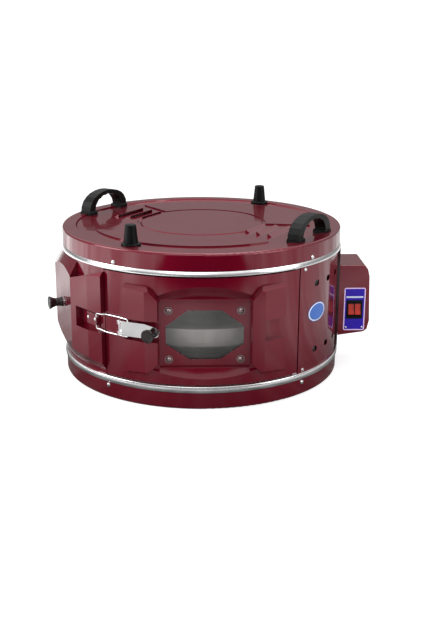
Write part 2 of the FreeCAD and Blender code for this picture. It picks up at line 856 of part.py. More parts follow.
def make_floor():
    """The dished reflector that closes the bottom of the baking space."""
    top = "sill_ring_top - ring_wall"
    edge = "liner_radius + 6"
    dish = "floor_dish_radius"
    keep("floor_reflector", turned("floor_reflector", [
        (edge, top), (edge, top + " - floor_wall"), (dish + " + 4", top + " - floor_wall"),
        (dish, top + " - floor_wall - floor_dish_drop"), ("0", top + " - floor_wall - floor_dish_drop"),
        ("0", top + " - floor_dish_drop"), (dish, top + " - floor_dish_drop"),
        (dish + " + 4", top)]))


def make_post(node, azimuth, away):
    """A channel upright beside the doorway, open away from the door."""
    out = DRUM_INNER + " - seat_gap"
    back = "liner_radius + seat_gap"
    width = away + " * post_flange"
    skin = away + " * sheet_wall"
    loop = [("0", "-(%s)" % out), (width, "-(%s) + 0.2" % out),
            (width, "-(%s) + 0.2 + sheet_wall" % out), (skin, "-(%s) + sheet_wall" % out),
            (skin, "-(%s) - sheet_wall" % back), (width, "-(%s) - sheet_wall" % back),
            (width, "-(%s)" % back), ("0", "-(%s)" % back)]
    foot = "sill_ring_top + 2"
    post = prism(node, "XY", [loop], "door_head - bracket_wall - sill_ring_top - 2", offset=foot)
    keep(node, place(post, turn=azimuth))


# ---------------------------------------------------------------- hinge

HINGE_RADIUS = "drum_radius - hinge_inset"
HINGE_AZIMUTH = "hinge_side_azimuth - " + arc_angle("hinge_setback")


def make_hinge():
    """Two riveted brackets with pins, on which the door's edge tube turns."""
    brackets = {"hinge_bracket_upper": ("door_head + door_clearance",
                                        "door_head + door_clearance - bracket_tall"),
                "hinge_bracket_lower": ("door_foot - door_clearance - bracket_wall",
                                        "door_foot - door_clearance")}
    leg_out = DRUM_INNER + " - seat_gap / 2"
    for node, (tab, leg) in brackets.items():
        tab_loop = box_loop("-3.2", "-(%s)" % leg_out, "hinge_setback + hinge_gap + bracket_wide",
                            "-(%s) + 3.2" % HINGE_RADIUS)
        plate = prism(node + "_tab", "XY", [tab_loop], "bracket_wall", offset=tab)
        leg_start = "hinge_setback + hinge_gap + post_flange + 0.5"
        leg_loop = box_loop(leg_start, "-(%s)" % leg_out,
                            "hinge_setback + hinge_gap + bracket_wide",
                            "-(%s) + bracket_wall" % leg_out)
        upright = prism(node + "_leg", "XY", [leg_loop], "bracket_tall", offset=leg)
        for piece in (plate, upright):
            place(piece, turn=HINGE_AZIMUTH)
        inside = solid("Cylinder", node + "_inside", Radius=leg_out, Height="300")
        blank = common(node + "_blank", fuse(node + "_fold", plate, upright), inside)
        x, y = polar(HINGE_RADIUS, HINGE_AZIMUTH)
        bore = solid("Cylinder", node + "_bore", (x, y, tab + " - 5"),
                     Radius="hinge_pin_radius + hinge_fit", Height="12")
        tools = fuse(node + "_bores", bore, *hinge_rivet_holes(node))
        keep(node, cut(node + "_cut", blank, tools))


def make_hinge_pins():
    """An upper pin with a head on its bracket, and a lower pin pressed in from below."""
    x, y = polar(HINGE_RADIUS, HINGE_AZIMUTH)
    top = "door_head + door_clearance + bracket_wall"
    low = "door_foot - door_clearance - bracket_wall"
    upper = solid("Cylinder", "upper_pin_shank", (x, y, top + " - hinge_pin_long"),
                  Radius="hinge_pin_radius", Height="hinge_pin_long + 0.4")
    head = solid("Cylinder", "upper_pin_head", (x, y, top), Radius="hinge_pin_radius + 0.7",
                 Height="0.6")
    lower = solid("Cylinder", "lower_pin_shank", (x, y, low), Radius="hinge_pin_radius",
                  Height="hinge_pin_long")
    keep("hinge_pins", group("hinge_pin_pair", fuse("upper_pin", upper, head), lower))


HINGE_RIVET_AZIMUTH = HINGE_AZIMUTH + " + " + arc_angle("hinge_setback + hinge_gap + 10.5")
HINGE_RIVET_HEIGHTS = (("upper", "door_head - 2.7"), ("lower", "door_foot + 1.8"))


def hinge_rivet_holes(name):
    return [radial_hole("%s_rivet_%s" % (name, tag), "rivet_shank + hinge_fit",
                        ("drum_radius - 20", height), HINGE_RIVET_AZIMUTH)
            for tag, height in HINGE_RIVET_HEIGHTS]


def make_hinge_rivets():
    rivets = [dome("hinge_rivet_%s" % tag, ("drum_radius", height), HINGE_RIVET_AZIMUTH,
                   "rivet_radius", "rivet_dome", "rivet_shank", "sheet_wall + bracket_wall + 0.6")
              for tag, height in HINGE_RIVET_HEIGHTS]
    keep("hinge_rivets", group("hinge_rivet_pair", *rivets))


# ---------------------------------------------------------------- door

PLATE_FACE = "window_plane - window_set_back"


def octagon(grow="0"):
    """The window's eight corners, each side moved outwards by grow."""
    wide = "pane_half_width + (%s)" % grow
    low = "pane_low - (%s)" % grow
    high = "pane_high + (%s)" % grow
    slide = "(%s) * 0.45" % grow
    return [("-(pane_flat_low + %s)" % slide, low), ("pane_flat_low + " + slide, low),
            (wide, "pane_side_low - " + slide), (wide, "pane_side_high + " + slide),
            ("pane_flat_high + " + slide, high), ("-(pane_flat_high + %s)" % slide, high),
            ("-(%s)" % wide, "pane_side_high + " + slide), ("-(%s)" % wide, "pane_side_low - " + slide)]


def slab(name, loops, front, back):
    """A flat plate parallel to the window, between two distances in front of the axis."""
    return prism(name, "XZ", loops, "(%s) - (%s)" % (front, back), offset=back)


def recess_form(name, skin):
    """The space pressed into the door: a flat with a ledge sloping out above and below."""
    plane = "-window_plane + (%s)" % skin
    out = "-drum_radius - 40"
    ledge = "(drum_radius + 40 - window_plane + (%s)) / (drum_radius - window_plane)" % skin
    high = "recess_high + (%s)" % skin
    low = "recess_low - (%s)" % skin
    return prism(name, "YZ", [[
        (plane, low), (plane, high), (out, high + " + upper_ledge_drop * " + ledge),
        (out, low + " - lower_ledge_drop * " + ledge)]], THROUGH, both_ways=True)


def door_fields(tag, skin):
    """The raised fields beside the window; the latch channel ends at the right one's ridge."""
    outer_edge = "door_field_azimuth + door_field_half + 2"
    inner_edge = "door_field_azimuth - door_field_half - 2"
    ridge = "door_field_azimuth - door_field_ridge"
    rooms = {"right": (ridge + " - " + arc_angle(skin), outer_edge),
             "left": ("-(%s)" % outer_edge, "-(%s)" % inner_edge)}
    fields = []
    for side, sign, inward in (("right", "1", "-1"), ("left", "-1", "1")):
        name = "door_field_%s_%s" % (side, tag)
        form = field_form(name, sign + " * door_field_azimuth", "%s * door_field_ridge" % inward,
                          inward, skin)
        room = channel(name + "_channel", rooms[side][0], rooms[side][1], skin)
        fields.append(cut(name + "_cut", form, room))
    return fields


def make_door_panel():
    """The pressed door skin with its returned edges, window opening and raised fields."""
    wedge = sector("door_wedge", "drum_radius", "door_foot", "door_head", DOOR_START, DOOR_END)
    outer = fuse("door_form", cut("door_wedge_recessed", wedge, recess_form("door_recess", "0")),
                 *door_fields("outer", "0"))
    edge = arc_angle("sheet_wall", "drum_radius - door_depth / 2")
    hollow_wedge = sector("door_hollow_wedge", DRUM_INNER, "door_foot + sheet_wall",
                          "door_head - sheet_wall", DOOR_START + " + " + edge,
                          DOOR_END + " - " + edge)
    inner = fuse("door_hollow",
                 cut("door_hollow_recessed", hollow_wedge, recess_form("door_recess_back", "sheet_wall")),
                 *door_fields("inner", "sheet_wall"))
    lip = slab("window_lip", [box_loop(
        "-opening_half_width - sheet_wall", "opening_low - sheet_wall",
        "opening_half_width + sheet_wall", "opening_high + sheet_wall")], "window_plane", PLATE_FACE)
    skin = cut("door_skin", outer, cut("door_hollow_with_lip", inner, lip))
    opening = slab("window_opening", [box_loop(
        "-opening_half_width", "opening_low", "opening_half_width", "opening_high")],
        "drum_radius + 40", "window_plane - 60")
    core = solid("Cylinder", "door_core", Radius="drum_radius - door_depth", Height="300")
    x, y = polar(HINGE_RADIUS, HINGE_AZIMUTH)
    pin_bore = solid("Cylinder", "door_pin_bore", (x, y, "0"),
                     Radius="hinge_pin_radius + slip_gap", Height="300")
    tools = fuse("door_cutters", opening, core, pin_bore, *latch_rivet_holes("door_latch"))
    keep("door_panel", cut("door_panel_cut", skin, tools))


def bolt_spots():
    return [(sign + " * bolt_half_spacing", height)
            for sign in ("-1", "1") for height in ("bolt_low", "bolt_high")]


def bolt_holes(name, front, back):
    holes = []
    for index, (x, z) in enumerate(bolt_spots()):
        hole = solid("Cylinder", "%s_%d" % (name, index), (x, "-(%s)" % back, z), "90", (1, 0, 0),
                     Radius="bolt_shank + bolt_clearance", Height="(%s) - (%s)" % (front, back))
        holes.append(hole)
    return holes


def make_window():
    """The framed octagonal window: plate, seal, glass and clamp, held by four bolts."""
    back = PLATE_FACE + " - frame_wall"
    plate = slab("window_plate", [box_loop(
        "-opening_half_width - frame_overlap", "opening_low - frame_overlap",
        "opening_half_width + frame_overlap", "opening_high + frame_overlap"), octagon()],
        PLATE_FACE, back)
    holes = fuse("window_plate_holes", *bolt_holes("plate_hole", PLATE_FACE + " + 5", back + " - 5"))
    keep("window_frame", cut("window_frame_cut", plate, holes))

    glass_face = back + " - gasket_wall"
    glass_back = glass_face + " - glass_wall"
    keep("window_gasket", slab("window_gasket", [octagon("glass_overlap"), octagon("1.2")], back,
                               glass_face))
    keep("window_glass", slab("window_glass", [octagon("glass_overlap")], glass_face, glass_back))

    clamp_back = glass_back + " - clamp_wall"
    clamp = slab("clamp_plate", [box_loop(
        "-bolt_half_spacing - 9", "bolt_low - 9", "bolt_half_spacing + 9", "bolt_high + 9"),
        octagon("1.2")], glass_back, clamp_back)
    clamp_holes = fuse("clamp_holes", *bolt_holes("clamp_hole", glass_back + " + 5",
                                                  clamp_back + " - 5"))
    keep("glass_clamp", cut("glass_clamp_cut", clamp, clamp_holes))
    keep("window_bolts", group("window_bolt_set", *[
        window_bolt(index, x, z, clamp_back) for index, (x, z) in enumerate(bolt_spots())]))


def window_bolt(index, x, z, clamp_back):
    """A domed nut on a washer outside, and a hexagon nut inside."""
    name = "window_bolt_%d" % index
    shank_end = "(%s) - (%s) + 5" % (PLATE_FACE, clamp_back)
    nut_top = "(%s) - (%s)" % (PLATE_FACE, clamp_back)
    body = new_body(name + "_body")
    sketch = new_sketch(body, name + "_profile", "XZ")
    outline(sketch, [
        ("0", "-(%s)" % shank_end), ("bolt_shank", "-(%s)" % shank_end),
        ("bolt_shank", "-(%s) - 3.5" % nut_top), ("bolt_head", "-(%s) - 3.5" % nut_top),
        ("bolt_head", "-(%s)" % nut_top), ("bolt_shank", "-(%s)" % nut_top), ("bolt_shank", "0"),
        ("bolt_washer", "0"), ("bolt_washer", "1"), ("bolt_head", "1"), ("bolt_head", "2.4"),
        ("bolt_head * 0.86", "3.9"), ("bolt_head * 0.5", "5"), ("0", "5.4")])
    feature = body.newObject("PartDesign::Revolution", name + "_turn")
    feature.Profile = sketch
    feature.ReferenceAxis = (sketch, ["V_Axis"])
    feature.Angle = FULL_TURN
    body.Tip = feature
    return place(body, (x, "-(%s)" % PLATE_FACE, z), "90", (1, 0, 0))


def make_door_liner():
    """The inner skin that closes the door around the glass."""
    out = "drum_radius - door_depth"
    edge = arc_angle("sheet_wall + seat_gap", out)
    wall = sector_ring("door_liner_wall", out + " + thin_wall", out, "door_foot + sheet_wall + 0.1",
                       "door_head - sheet_wall - 0.1", DOOR_START + " + " + edge,
                       DOOR_END + " - " + edge + " - " + arc_angle("2 * hinge_tube_radius + 1"))
    opening = slab("door_liner_opening", [box_loop(
        "-opening_half_width - frame_overlap - 1", "opening_low - frame_overlap - 1",
        "opening_half_width + frame_overlap + 1", "opening_high + frame_overlap + 1")],
        "drum_radius", "100")
    keep("door_liner", cut("door_liner_cut", wall, opening))


def make_hinge_tube():
    """The tube along the door's edge that turns on the two pins."""
    x, y = polar(HINGE_RADIUS, HINGE_AZIMUTH)
    low = "door_foot + sheet_wall + 0.1"
    long = "door_head - door_foot - 2 * sheet_wall - 0.2"
    tube = solid("Cylinder", "hinge_tube_outer", (x, y, low), Radius="hinge_tube_radius", Height=long)
    bore = solid("Cylinder", "hinge_tube_bore", (x, y, low + " - 5"),
                 Radius="hinge_pin_radius + hinge_fit", Height=long + " + 10")
    keep("hinge_tube", cut("hinge_tube_cut", tube, bore))


# ---------------------------------------------------------------- draw latch

# The latch is drawn in a frame turned so that the closed lever lies along X.
PIVOT = polar("pivot_radius", "latch_azimuth - pivot_azimuth")
FACE = PIVOT[1] + " - lever_cover"
BAIL_PIVOT = (PIVOT[0] + " + bail_arm", PIVOT[1] + " + bail_over_centre")
HOOK = polar("bail_hook_radius", "latch_azimuth - bail_hook_azimuth")


def in_latch_frame(thing):
    return place(thing, turn="-latch_azimuth")


def upright_rod(name, spot, radius, half_tall):
    """A round rod along Z, centred on the latch's height."""
    return solid("Cylinder", name, (spot[0], spot[1], "latch_height - (%s)" % half_tall),
                 Radius=radius, Height="2 * (%s)" % half_tall)


def latch_rivet_azimuths():
    middle = "-pivot_azimuth + 3"
    return [middle + " + 0.4", middle + " + 2.6"]


def latch_rivet_holes(name):
    return [radial_hole("%s_hole_%d" % (name, index), "latch_rivet_shank + hinge_fit",
                        ("drum_radius - 20", "latch_height"), text)
            for index, text in enumerate(latch_rivet_azimuths())]


def make_latch_base():
    """A riveted plate on the door with two ears that carry the pivot pin."""
    seat = "drum_radius + slip_gap"
    plate_turn = "-pivot_azimuth + 3"
    half = arc_angle("latch_base_long / 2")
    plate = sector_ring("latch_base_plate", seat + " + lever_wall", seat,
                        "latch_height - lever_half_tall + 2", "latch_height + lever_half_tall - 2",
                        "%s - %s" % (plate_turn, half), "%s + %s" % (plate_turn, half))
    ears = []
    for tag, height in (("upper", "latch_height + lever_half_tall - 4.8"),
                        ("lower", "latch_height - lever_half_tall + 3.6")):
        web = prism("latch_ear_web_" + tag, "XY", [[
            ("-14.8", "-(%s) - lever_wall / 2" % seat), ("-5", "-(%s) - lever_wall / 2" % seat),
            ("-8.6", "-pivot_radius"), ("-15.6", "-pivot_radius")]], "lever_wall", offset=height)
        place(web, turn=plate_turn)
        x, y = polar("pivot_radius", "-pivot_azimuth")
        eye = solid("Cylinder", "latch_ear_eye_" + tag, (x, y, height), Radius="ear_radius - 0.4",
                    Height="lever_wall")
        ears += [web, eye]
    blank = fuse("latch_base_blank", plate, *ears)
    bore = solid("Cylinder", "latch_base_bore", polar("pivot_radius", "-pivot_azimuth") + ("0",),
                 Radius="latch_pin + hinge_fit", Height="300")
    keep("latch_base", cut("latch_base_cut", blank, fuse("latch_base_bores", bore,
                                                         *latch_rivet_holes("base_latch"))))
    rivets = [dome("latch_base_rivet_%d" % index, (seat + " + lever_wall", "latch_height"),
                   text, "latch_rivet_head", "latch_rivet_dome", "latch_rivet_shank",
                   "lever_wall + sheet_wall + 1")
              for index, text in enumerate(latch_rivet_azimuths())]
    keep("latch_base_rivets", group("latch_base_rivet_pair", *rivets))
    pin = upright_rod("latch_pin_rod", polar("pivot_radius", "-pivot_azimuth"), "latch_pin",
                      "lever_half_tall + 0.8")
    keep("latch_pin", pin)


def make_latch_lever():
    """A folded lever: a face that narrows to a round tongue, and two side flanges."""
    tip = PIVOT[0] + " + lever_long"
    neck = tip + " - 24"
    tongue = tip + " - tongue_radius"
    body = new_body("lever_face_body")
    sketch = new_sketch(body, "lever_face_outline", "XZ", "-(%s) - lever_wall" % FACE)
    low, high = "latch_height - lever_half_tall", "latch_height + lever_half_tall"
    heel = PIVOT[0] + " + ear_radius + seat_gap"
    outline(sketch, [(heel, low), (neck, low), (tongue, "latch_height - tongue_radius"),
                     (tongue, "latch_height + tongue_radius"), (neck, high), (heel, high)])
    pad(body, sketch, "lever_wall")
    disc = solid("Cylinder", "lever_tongue", (tongue, FACE + " + lever_wall", "latch_height"), "90",
                 (1, 0, 0), Radius="tongue_radius", Height="lever_wall")
    flanges = []
    for tag, height in (("upper", high + " - lever_wall"), ("lower", low)):
        web = prism("lever_web_" + tag, "XY", [[
            (PIVOT[0], FACE), (PIVOT[0] + " + lever_flange_long", FACE),
            (PIVOT[0] + " + lever_flange_long - 6", FACE + " + 3"),
            (BAIL_PIVOT[0] + " + 6", BAIL_PIVOT[1] + " + 3"), (PIVOT[0], PIVOT[1] + " + 3.4")]],
            "lever_wall", offset=height)
        eye = solid("Cylinder", "lever_eye_" + tag, (PIVOT[0], PIVOT[1], height), Radius="ear_radius",
                    Height="lever_wall")
        flanges += [web, eye]
    blank = fuse("lever_blank", body, disc, *flanges)
    pin_bore = solid("Cylinder", "lever_pin_bore", (PIVOT[0], PIVOT[1], "0"),
                     Radius="latch_pin + hinge_fit", Height="300")
    bail_bore = solid("Cylinder", "lever_bail_bore", (BAIL_PIVOT[0], BAIL_PIVOT[1], "0"),
                      Radius="bail_wire + bail_clearance", Height="300")
    lever = cut("lever_cut", blank, fuse("lever_bores", pin_bore, bail_bore))
    keep("latch_lever", in_latch_frame(lever))


def knob_profile(stem):
    """Half the profile of a flared knob that stands on Z, with a spigot of length stem below."""
    return [("0", "-(%s)" % stem), ("knob_waist * 0.4", "-(%s)" % stem), ("knob_waist * 0.4", "0"),
            ("knob_base", "0"), ("knob_base", "1.6"), ("knob_waist", "4"),
            ("knob_waist", "knob_long * 0.5"), ("(knob_waist + knob_radius) / 2", "knob_long * 0.76"),
            ("knob_radius", "knob_long - knob_edge"), ("knob_radius", "knob_long - 0.8"),
            ("knob_radius - 1", "knob_long"),
            ("knob_radius * 0.62", "knob_long - 0.6"), ("0", "knob_long - 0.6")]


def make_latch_knob():
    knob = turned("latch_knob", knob_profile("lever_wall + 1.4"))
    spot_x = PIVOT[0] + " + lever_long - knob_from_tip"
    place(knob, (spot_x, FACE, "latch_height"), "90", (1, 0, 0))
    hole = solid("Cylinder", "knob_hole", (spot_x, FACE + " + 5", "latch_height"), "90", (1, 0, 0),
                 Radius="knob_waist * 0.4", Height="10")
    lever = parts["latch_lever"]
    lever.Tool = fuse("lever_all_bores", lever.Tool, hole)
    keep("latch_knob", in_latch_frame(group("latch_knob_set", knob)))


def bent_rod(name, corners, bend, radius, start_plane, start, middle):
    """A round rod along straight runs in the XZ plane, joined by tangent bends."""
    body = new_body(name + "_body")
    path = new_sketch(body, name + "_path", "XZ")
    spots = [Vector(value(x), value(z), 0) for x, z in corners]
    runs = len(spots) - 1
    for index in range(runs):
        path.addGeometry(Part.LineSegment(spots[index], spots[index + 1]), False)
    for index in range(runs - 1):
        path.addConstraint(Sketcher.Constraint("Coincident", index, 2, index + 1, 1))
    for index, (x, z) in enumerate(corners):
        end = (index, 1) if index < runs else (runs - 1, 2)
        tie(path, "DistanceX", -1, 1, end[0], end[1], x)
        tie(path, "DistanceY", -1, 1, end[0], end[1], z)
    for index in range(runs - 1):
        path.fillet(index, 2, value(bend), True, True)
    for index, shape in enumerate(path.Geometry):
        if isinstance(shape, Part.ArcOfCircle):
            held = path.addConstraint(Sketcher.Constraint("Radius", index, value(bend)))
            path.renameConstraint(held, "bend%d" % index)
            bind(path, "Constraints.bend%d" % index, bend)
    section = new_sketch(body, name + "_section", start_plane, start)
    ring(section, radius, *middle)
    pipe = body.newObject("PartDesign::AdditivePipe", name + "_pipe")
    pipe.Profile = section
    pipe.Spine = (path, [])
    body.Tip = pipe
    return body


def make_latch_bail():
    """A wire bail: two side wires that close in to the hook, with its ends turned in."""
    reach = "sqrt((%s - (%s)) ^ 2 + (%s - (%s)) ^ 2)" % (BAIL_PIVOT[0], HOOK[0], BAIL_PIVOT[1], HOOK[1])
    inset = "lever_half_tall - lever_wall - 0.8"
    wide, narrow = "bail_half_wide", "bail_half_narrow"
    half = [("0", inset), ("0", wide), ("0.68 * (%s)" % reach, wide),
            ("0.86 * (%s)" % reach, narrow), (reach, narrow)]
    corners = half + [(x, "-(%s)" % z) for x, z in reversed(half)]
    bail = bent_rod("latch_bail", corners, "bail_bend", "bail_wire", "XY", inset, ("0", "0"))
    turn = "180 + atan((%s - (%s)) / (%s - (%s))) / (1 deg)" % (
        HOOK[1], BAIL_PIVOT[1], HOOK[0], BAIL_PIVOT[0])
    place(bail, (BAIL_PIVOT[0], BAIL_PIVOT[1], "latch_height"), turn)
    keep("latch_bail", in_latch_frame(group("latch_bail_set", bail)))


def catch_rivet_azimuths():
    middle = "-bail_hook_azimuth - " + arc_angle("catch_long / 2 - 4")
    spread = arc_angle("catch_rivet_spread")
    return [middle + " - " + spread, middle + " + " + spread]


def catch_holes(name):
    return [radial_hole("%s_hole_%d" % (name, index), "catch_rivet_shank + hinge_fit",
                        ("drum_radius - 20", "latch_height"), text)
            for index, text in enumerate(catch_rivet_azimuths())]


def make_latch_catch():
    """A curved plate riveted to the drum, with a tab that the bail hooks behind."""
    seat = "drum_radius + slip_gap"
    middle = "-bail_hook_azimuth - " + arc_angle("catch_long / 2 - 4")
    half = arc_angle("catch_long / 2")
    plate = sector_ring("catch_plate", seat + " + catch_wall", seat, "latch_height - catch_half_tall",
                        "latch_height + catch_half_tall", middle + " - " + half,
                        middle + " + " + half)
    near = "bail_wire + hook_slack"
    tab = prism("catch_tab", "XY", [[
        (near, "-(%s)" % seat), (near, "-hook_head_radius"),
        (near + " + hook_wall", "-hook_head_radius"), (near + " + hook_wall", "-(%s)" % seat)]],
        "2 * hook_tall", offset="latch_height - hook_tall")
    place(tab, turn="-bail_hook_azimuth")
    keep("latch_catch", cut("latch_catch_cut", fuse("catch_blank", plate, tab),
                            fuse("catch_bores", *catch_holes("catch"))))
    rivets = [dome("catch_rivet_%d" % index, (seat + " + catch_wall", "latch_height"), text,
                   "catch_rivet_head", "catch_rivet_dome", "catch_rivet_shank",
                   "catch_wall + sheet_wall + 1")
              for index, text in enumerate(catch_rivet_azimuths())]
    keep("catch_rivets", group("catch_rivet_pair", *rivets))


def side_seat():
    """The distance from the axis of the bulge's side facet, at the azimuth of the side knob."""
    near = "(drum_radius + bulge_crease_rise)"
    far = "(drum_radius + bulge_side_rise)"
    return ("(%s * %s * sin(bulge_side - bulge_crease) / (%s * sin(side_knob_azimuth - bulge_crease)"
            " + %s * sin(bulge_side - side_knob_azimuth)))" % (near, far, near, far))


def make_side_knob():
    """A second knob of the same kind, fixed on the side facet at the left of the drum."""
    spot = "side_knob_height"
    seat = side_seat()
    stand = seat + " + side_stand_off"
    turn = "-side_knob_azimuth"
    stud = solid("Cylinder", "side_stud", Radius="side_stud_radius",
                 Height="side_stand_off + side_washer_wall + sheet_wall + 8")
    keep("side_knob_stud", lay_radial(group("side_stud_set", stud), (
        seat + " - sheet_wall - 3", spot), turn))
    collar = solid("Cylinder", "side_collar_outer", Radius="side_stud_radius + 2.6",
                   Height="side_stand_off - seat_gap")
    collar_bore = solid("Cylinder", "side_collar_bore", ("0", "0", "-1"),
                        Radius="side_stud_radius + slip_gap", Height="side_stand_off + 2")
    keep("side_knob_spacer", lay_radial(cut("side_collar", collar, collar_bore), (
        seat + " + slip_gap", spot), turn))
    washer = solid("Cylinder", "side_washer_outer", Radius="side_washer_radius",
                   Height="side_washer_wall")
    bore = solid("Cylinder", "side_washer_bore", ("0", "0", "-1"),
                 Radius="side_stud_radius + slip_gap", Height="side_washer_wall + 2")
    keep("side_knob_washer", lay_radial(cut("side_washer", washer, bore), (stand, spot), turn))
    knob = turned("side_knob", knob_profile("0.1"))
    hollow = solid("Cylinder", "side_knob_bore", ("0", "0", "-1"),
                   Radius="side_stud_radius + hinge_fit", Height="6.5")
    keep("side_knob", lay_radial(cut("side_knob_cut", knob, hollow), (
        stand + " + side_washer_wall + 0.2", spot), turn))


# ---------------------------------------------------------------- lid

DECK = "lid_rim_top - lid_deck_drop"


def lid_form(tag, skin):
    """The lid as a solid, or the hollow under its sheet when skin is the sheet's wall."""
    foot = "lid_skirt_base" if skin == "0" else "lid_skirt_base - 5"
    disc = DECK + " + lid_bead - (%s)" % skin
    deck = DECK + " - (%s)" % skin
    rim = "lid_rim_top - (%s)" % skin
    wall = "lid_radius - (%s)" % skin
    profile = turned("lid_" + tag, [
        ("0", foot), (wall, foot), (wall, rim), ("lid_deck_radius + 2 + (%s) / 2" % skin, rim),
        ("lid_deck_radius + (%s) / 2" % skin, deck), ("lid_disc_radius + 2 - (%s) / 2" % skin, deck),
        ("lid_disc_radius - (%s) / 2" % skin, disc), ("0", disc)])
    rounded(profile, "lid_corner - (%s)" % skin, circle_at(wall, rim))
    sectors = []
    for side, turn in (("front", "handle_azimuth - 90"), ("back", "handle_azimuth + 90")):
        spread = "sector_half_angle - " + arc_angle(skin, "sector_inner")
        sectors.append(sector_ring(
            "lid_sector_%s_%s" % (side, tag), "sector_outer - (%s)" % skin,
            "sector_inner + (%s)" % skin, DECK + " - 6", DECK + " + lid_bead - (%s)" % skin,
            "%s - (%s)" % (turn, spread), "%s + (%s)" % (turn, spread)))
    return fuse("lid_form_" + tag, profile, *sectors)


def louvres(tag, skin):
    """Rows of hoods that open towards the middle of the lid, by both handles."""
    hoods = []
    for side, turn in (("near", "handle_azimuth"), ("far", "handle_azimuth + 180")):
        for index in range(int(value("louvre_count"))):
            centre = "(louvre_first + %d * louvre_pitch)" % index
            inner = "-%s + louvre_wide / 2" % centre
            outer = "-%s - louvre_wide / 2" % centre
            crest = DECK + " + louvre_rise"
            low = DECK + " - 4"
            if skin == "0":
                loop = [(inner, low), (inner, crest), (inner + " - 1.4", crest), (outer, DECK),
                        (outer, low)]
            else:
                loop = [(inner + " + 0.6", low), (inner + " + 0.6", crest + " - (%s)" % skin),
                        (inner + " - 1.4", crest + " - (%s)" % skin),
                        (outer + " + 1.6 * (%s)" % skin, low + " + 3"),
                        (outer + " + 1.6 * (%s)" % skin, low)]
            long = "louvre_first_long + %d * louvre_growth - 2 * (%s)" % (index, skin)
            hood = prism("louvre_%s_%d_%s" % (side, index, tag), "YZ", [loop], long, both_ways=True)
            hoods.append(place(hood, turn=turn))
    return hoods


def leg_azimuths():
    return [("front", "handle_azimuth - 90"), ("back", "handle_azimuth + 90")]


def handle_azimuths():
    return [("right", "right_handle_azimuth"), ("left", "handle_azimuth + 180")]


def lid_screw_spots():
    """Where screws come up through the lid: one in each leg, two in each handle."""
    spots = [polar("fitting_radius", turn) for _side, turn in leg_azimuths()]
    for _side, turn in handle_azimuths():
        for sign in ("-1", "1"):
            along = "%s * handle_span / 2" % sign
            spots.append(("(%s) * cos(%s) + fitting_radius * sin(%s)" % (along, turn, turn),
                          "(%s) * sin(%s) - fitting_radius * cos(%s)" % (along, turn, turn)))
    return spots


def lid_bores(name, radius):
    return [solid("Cylinder", "%s_%d" % (name, index), (x, y, DECK + " - 8"), Radius=radius,
                  Height="lid_screw_long + 8")
            for index, (x, y) in enumerate(lid_screw_spots())]


def make_lid():
    outer = fuse("lid_outer", lid_form("outer", "0"), *louvres("outer", "0"))
    hollow = lid_form("inner", "sheet_wall")
    vents = louvres("inner", "sheet_wall")
    skirt_holes = radial_row("lid_skirt_hole", "lid_screw_azimuth", "screw_shank + hinge_fit",
                             ("lid_radius - 20", "lid_screw_height"))
    tools = fuse("lid_cutters", *vents, *lid_bores("lid_bore", "lid_screw + slip_gap"), *skirt_holes)
    keep("lid_shell", cut("lid_cut", cut("lid_sheet", outer, hollow), tools))


def seated_on_lid(name, blank):
    """Trim a fitting to the lid's top and bore it for its screws."""
    form = lid_form(name + "_seat", "0")
    bores = lid_bores(name + "_bore", "lid_screw + hinge_fit")
    return cut(name + "_cut", blank, fuse(name + "_tools", form, *bores))


def make_legs():
    """Turned feet on the lid, flared at a flange."""
    top = "lid_rim_top + leg_tall"
    for side, turn in leg_azimuths():
        name = "lid_leg_" + side
        leg = turned(name, [
            ("0", DECK + " - 1"), ("leg_flange_radius", DECK + " - 1"),
            ("leg_flange_radius", "lid_rim_top + leg_flange_wall - 1"),
            ("leg_flange_radius - 1", "lid_rim_top + leg_flange_wall"),
            ("leg_base_radius", "lid_rim_top + leg_flange_wall + 0.6"),
            ("leg_top_radius", top + " - leg_chamfer"), ("leg_top_radius - leg_chamfer", top),
            ("0", top)])
        place(leg, polar("fitting_radius", turn) + ("0",))
        keep(name, seated_on_lid(name, leg))


def grip_inner():
    return "(handle_span / 2 - handle_leg / 2)"


def grip_arch(half, rise, scalloped):
    """Points of one flattened arch over the lid; the inner arch is scalloped for the fingers."""
    steps = int(value("grip_bumps")) * (4 if scalloped else 3)
    points = []
    for index in range(steps + 1):
        turn = "(180 * %d / %d)" % (index, steps)
        dip = "0"
        if scalloped and index % 2 == 1 and 1 < index < steps - 1:
            dip = "grip_scallop"
        points.append(("(%s) * cos(%s)" % (half, turn),
                       "lid_rim_top + (%s - %s) * sin(%s) ^ 0.8" % (rise, dip, turn)))
    return points


def make_handles():
    """Arched grips with a scalloped underside, on two foot pads."""
    foot = DECK + " - 1"
    inner = "(handle_span - handle_foot_long) / 2"
    half = "(handle_span + handle_foot_long) / 2"
    for side, turn in handle_azimuths():
        name = "lid_handle_" + side
        loop = [(half, foot)] + grip_arch(half, "handle_tall", 0) + [("-(%s)" % half, foot)]
        loop += [("-(%s)" % grip_inner(), foot)]
        loop += list(reversed(grip_arch(grip_inner(), "handle_tall - handle_strap", 1)))
        loop += [(grip_inner(), foot)]
        strap = prism(name + "_strap", "XZ", [loop], "handle_strap_wide", both_ways=True)
        pads = [prism(name + "_pad_" + tag, "YZ", [[
            ("-handle_foot_wide / 2", foot), ("-handle_foot_wide / 2", "lid_rim_top + handle_foot_tall - 2"),
            ("-handle_strap_wide / 2", "lid_rim_top + handle_foot_tall"),
            ("handle_strap_wide / 2", "lid_rim_top + handle_foot_tall"),
            ("handle_foot_wide / 2", "lid_rim_top + handle_foot_tall - 2"),
            ("handle_foot_wide / 2", foot)]], "handle_foot_long", offset=start)
            for tag, start in (("a", inner), ("b", "-" + half))]
        blank = fuse(name + "_blank", strap, *pads)
        place(blank, polar("fitting_radius", turn) + ("0",), turn)
        keep(name, seated_on_lid(name, blank))


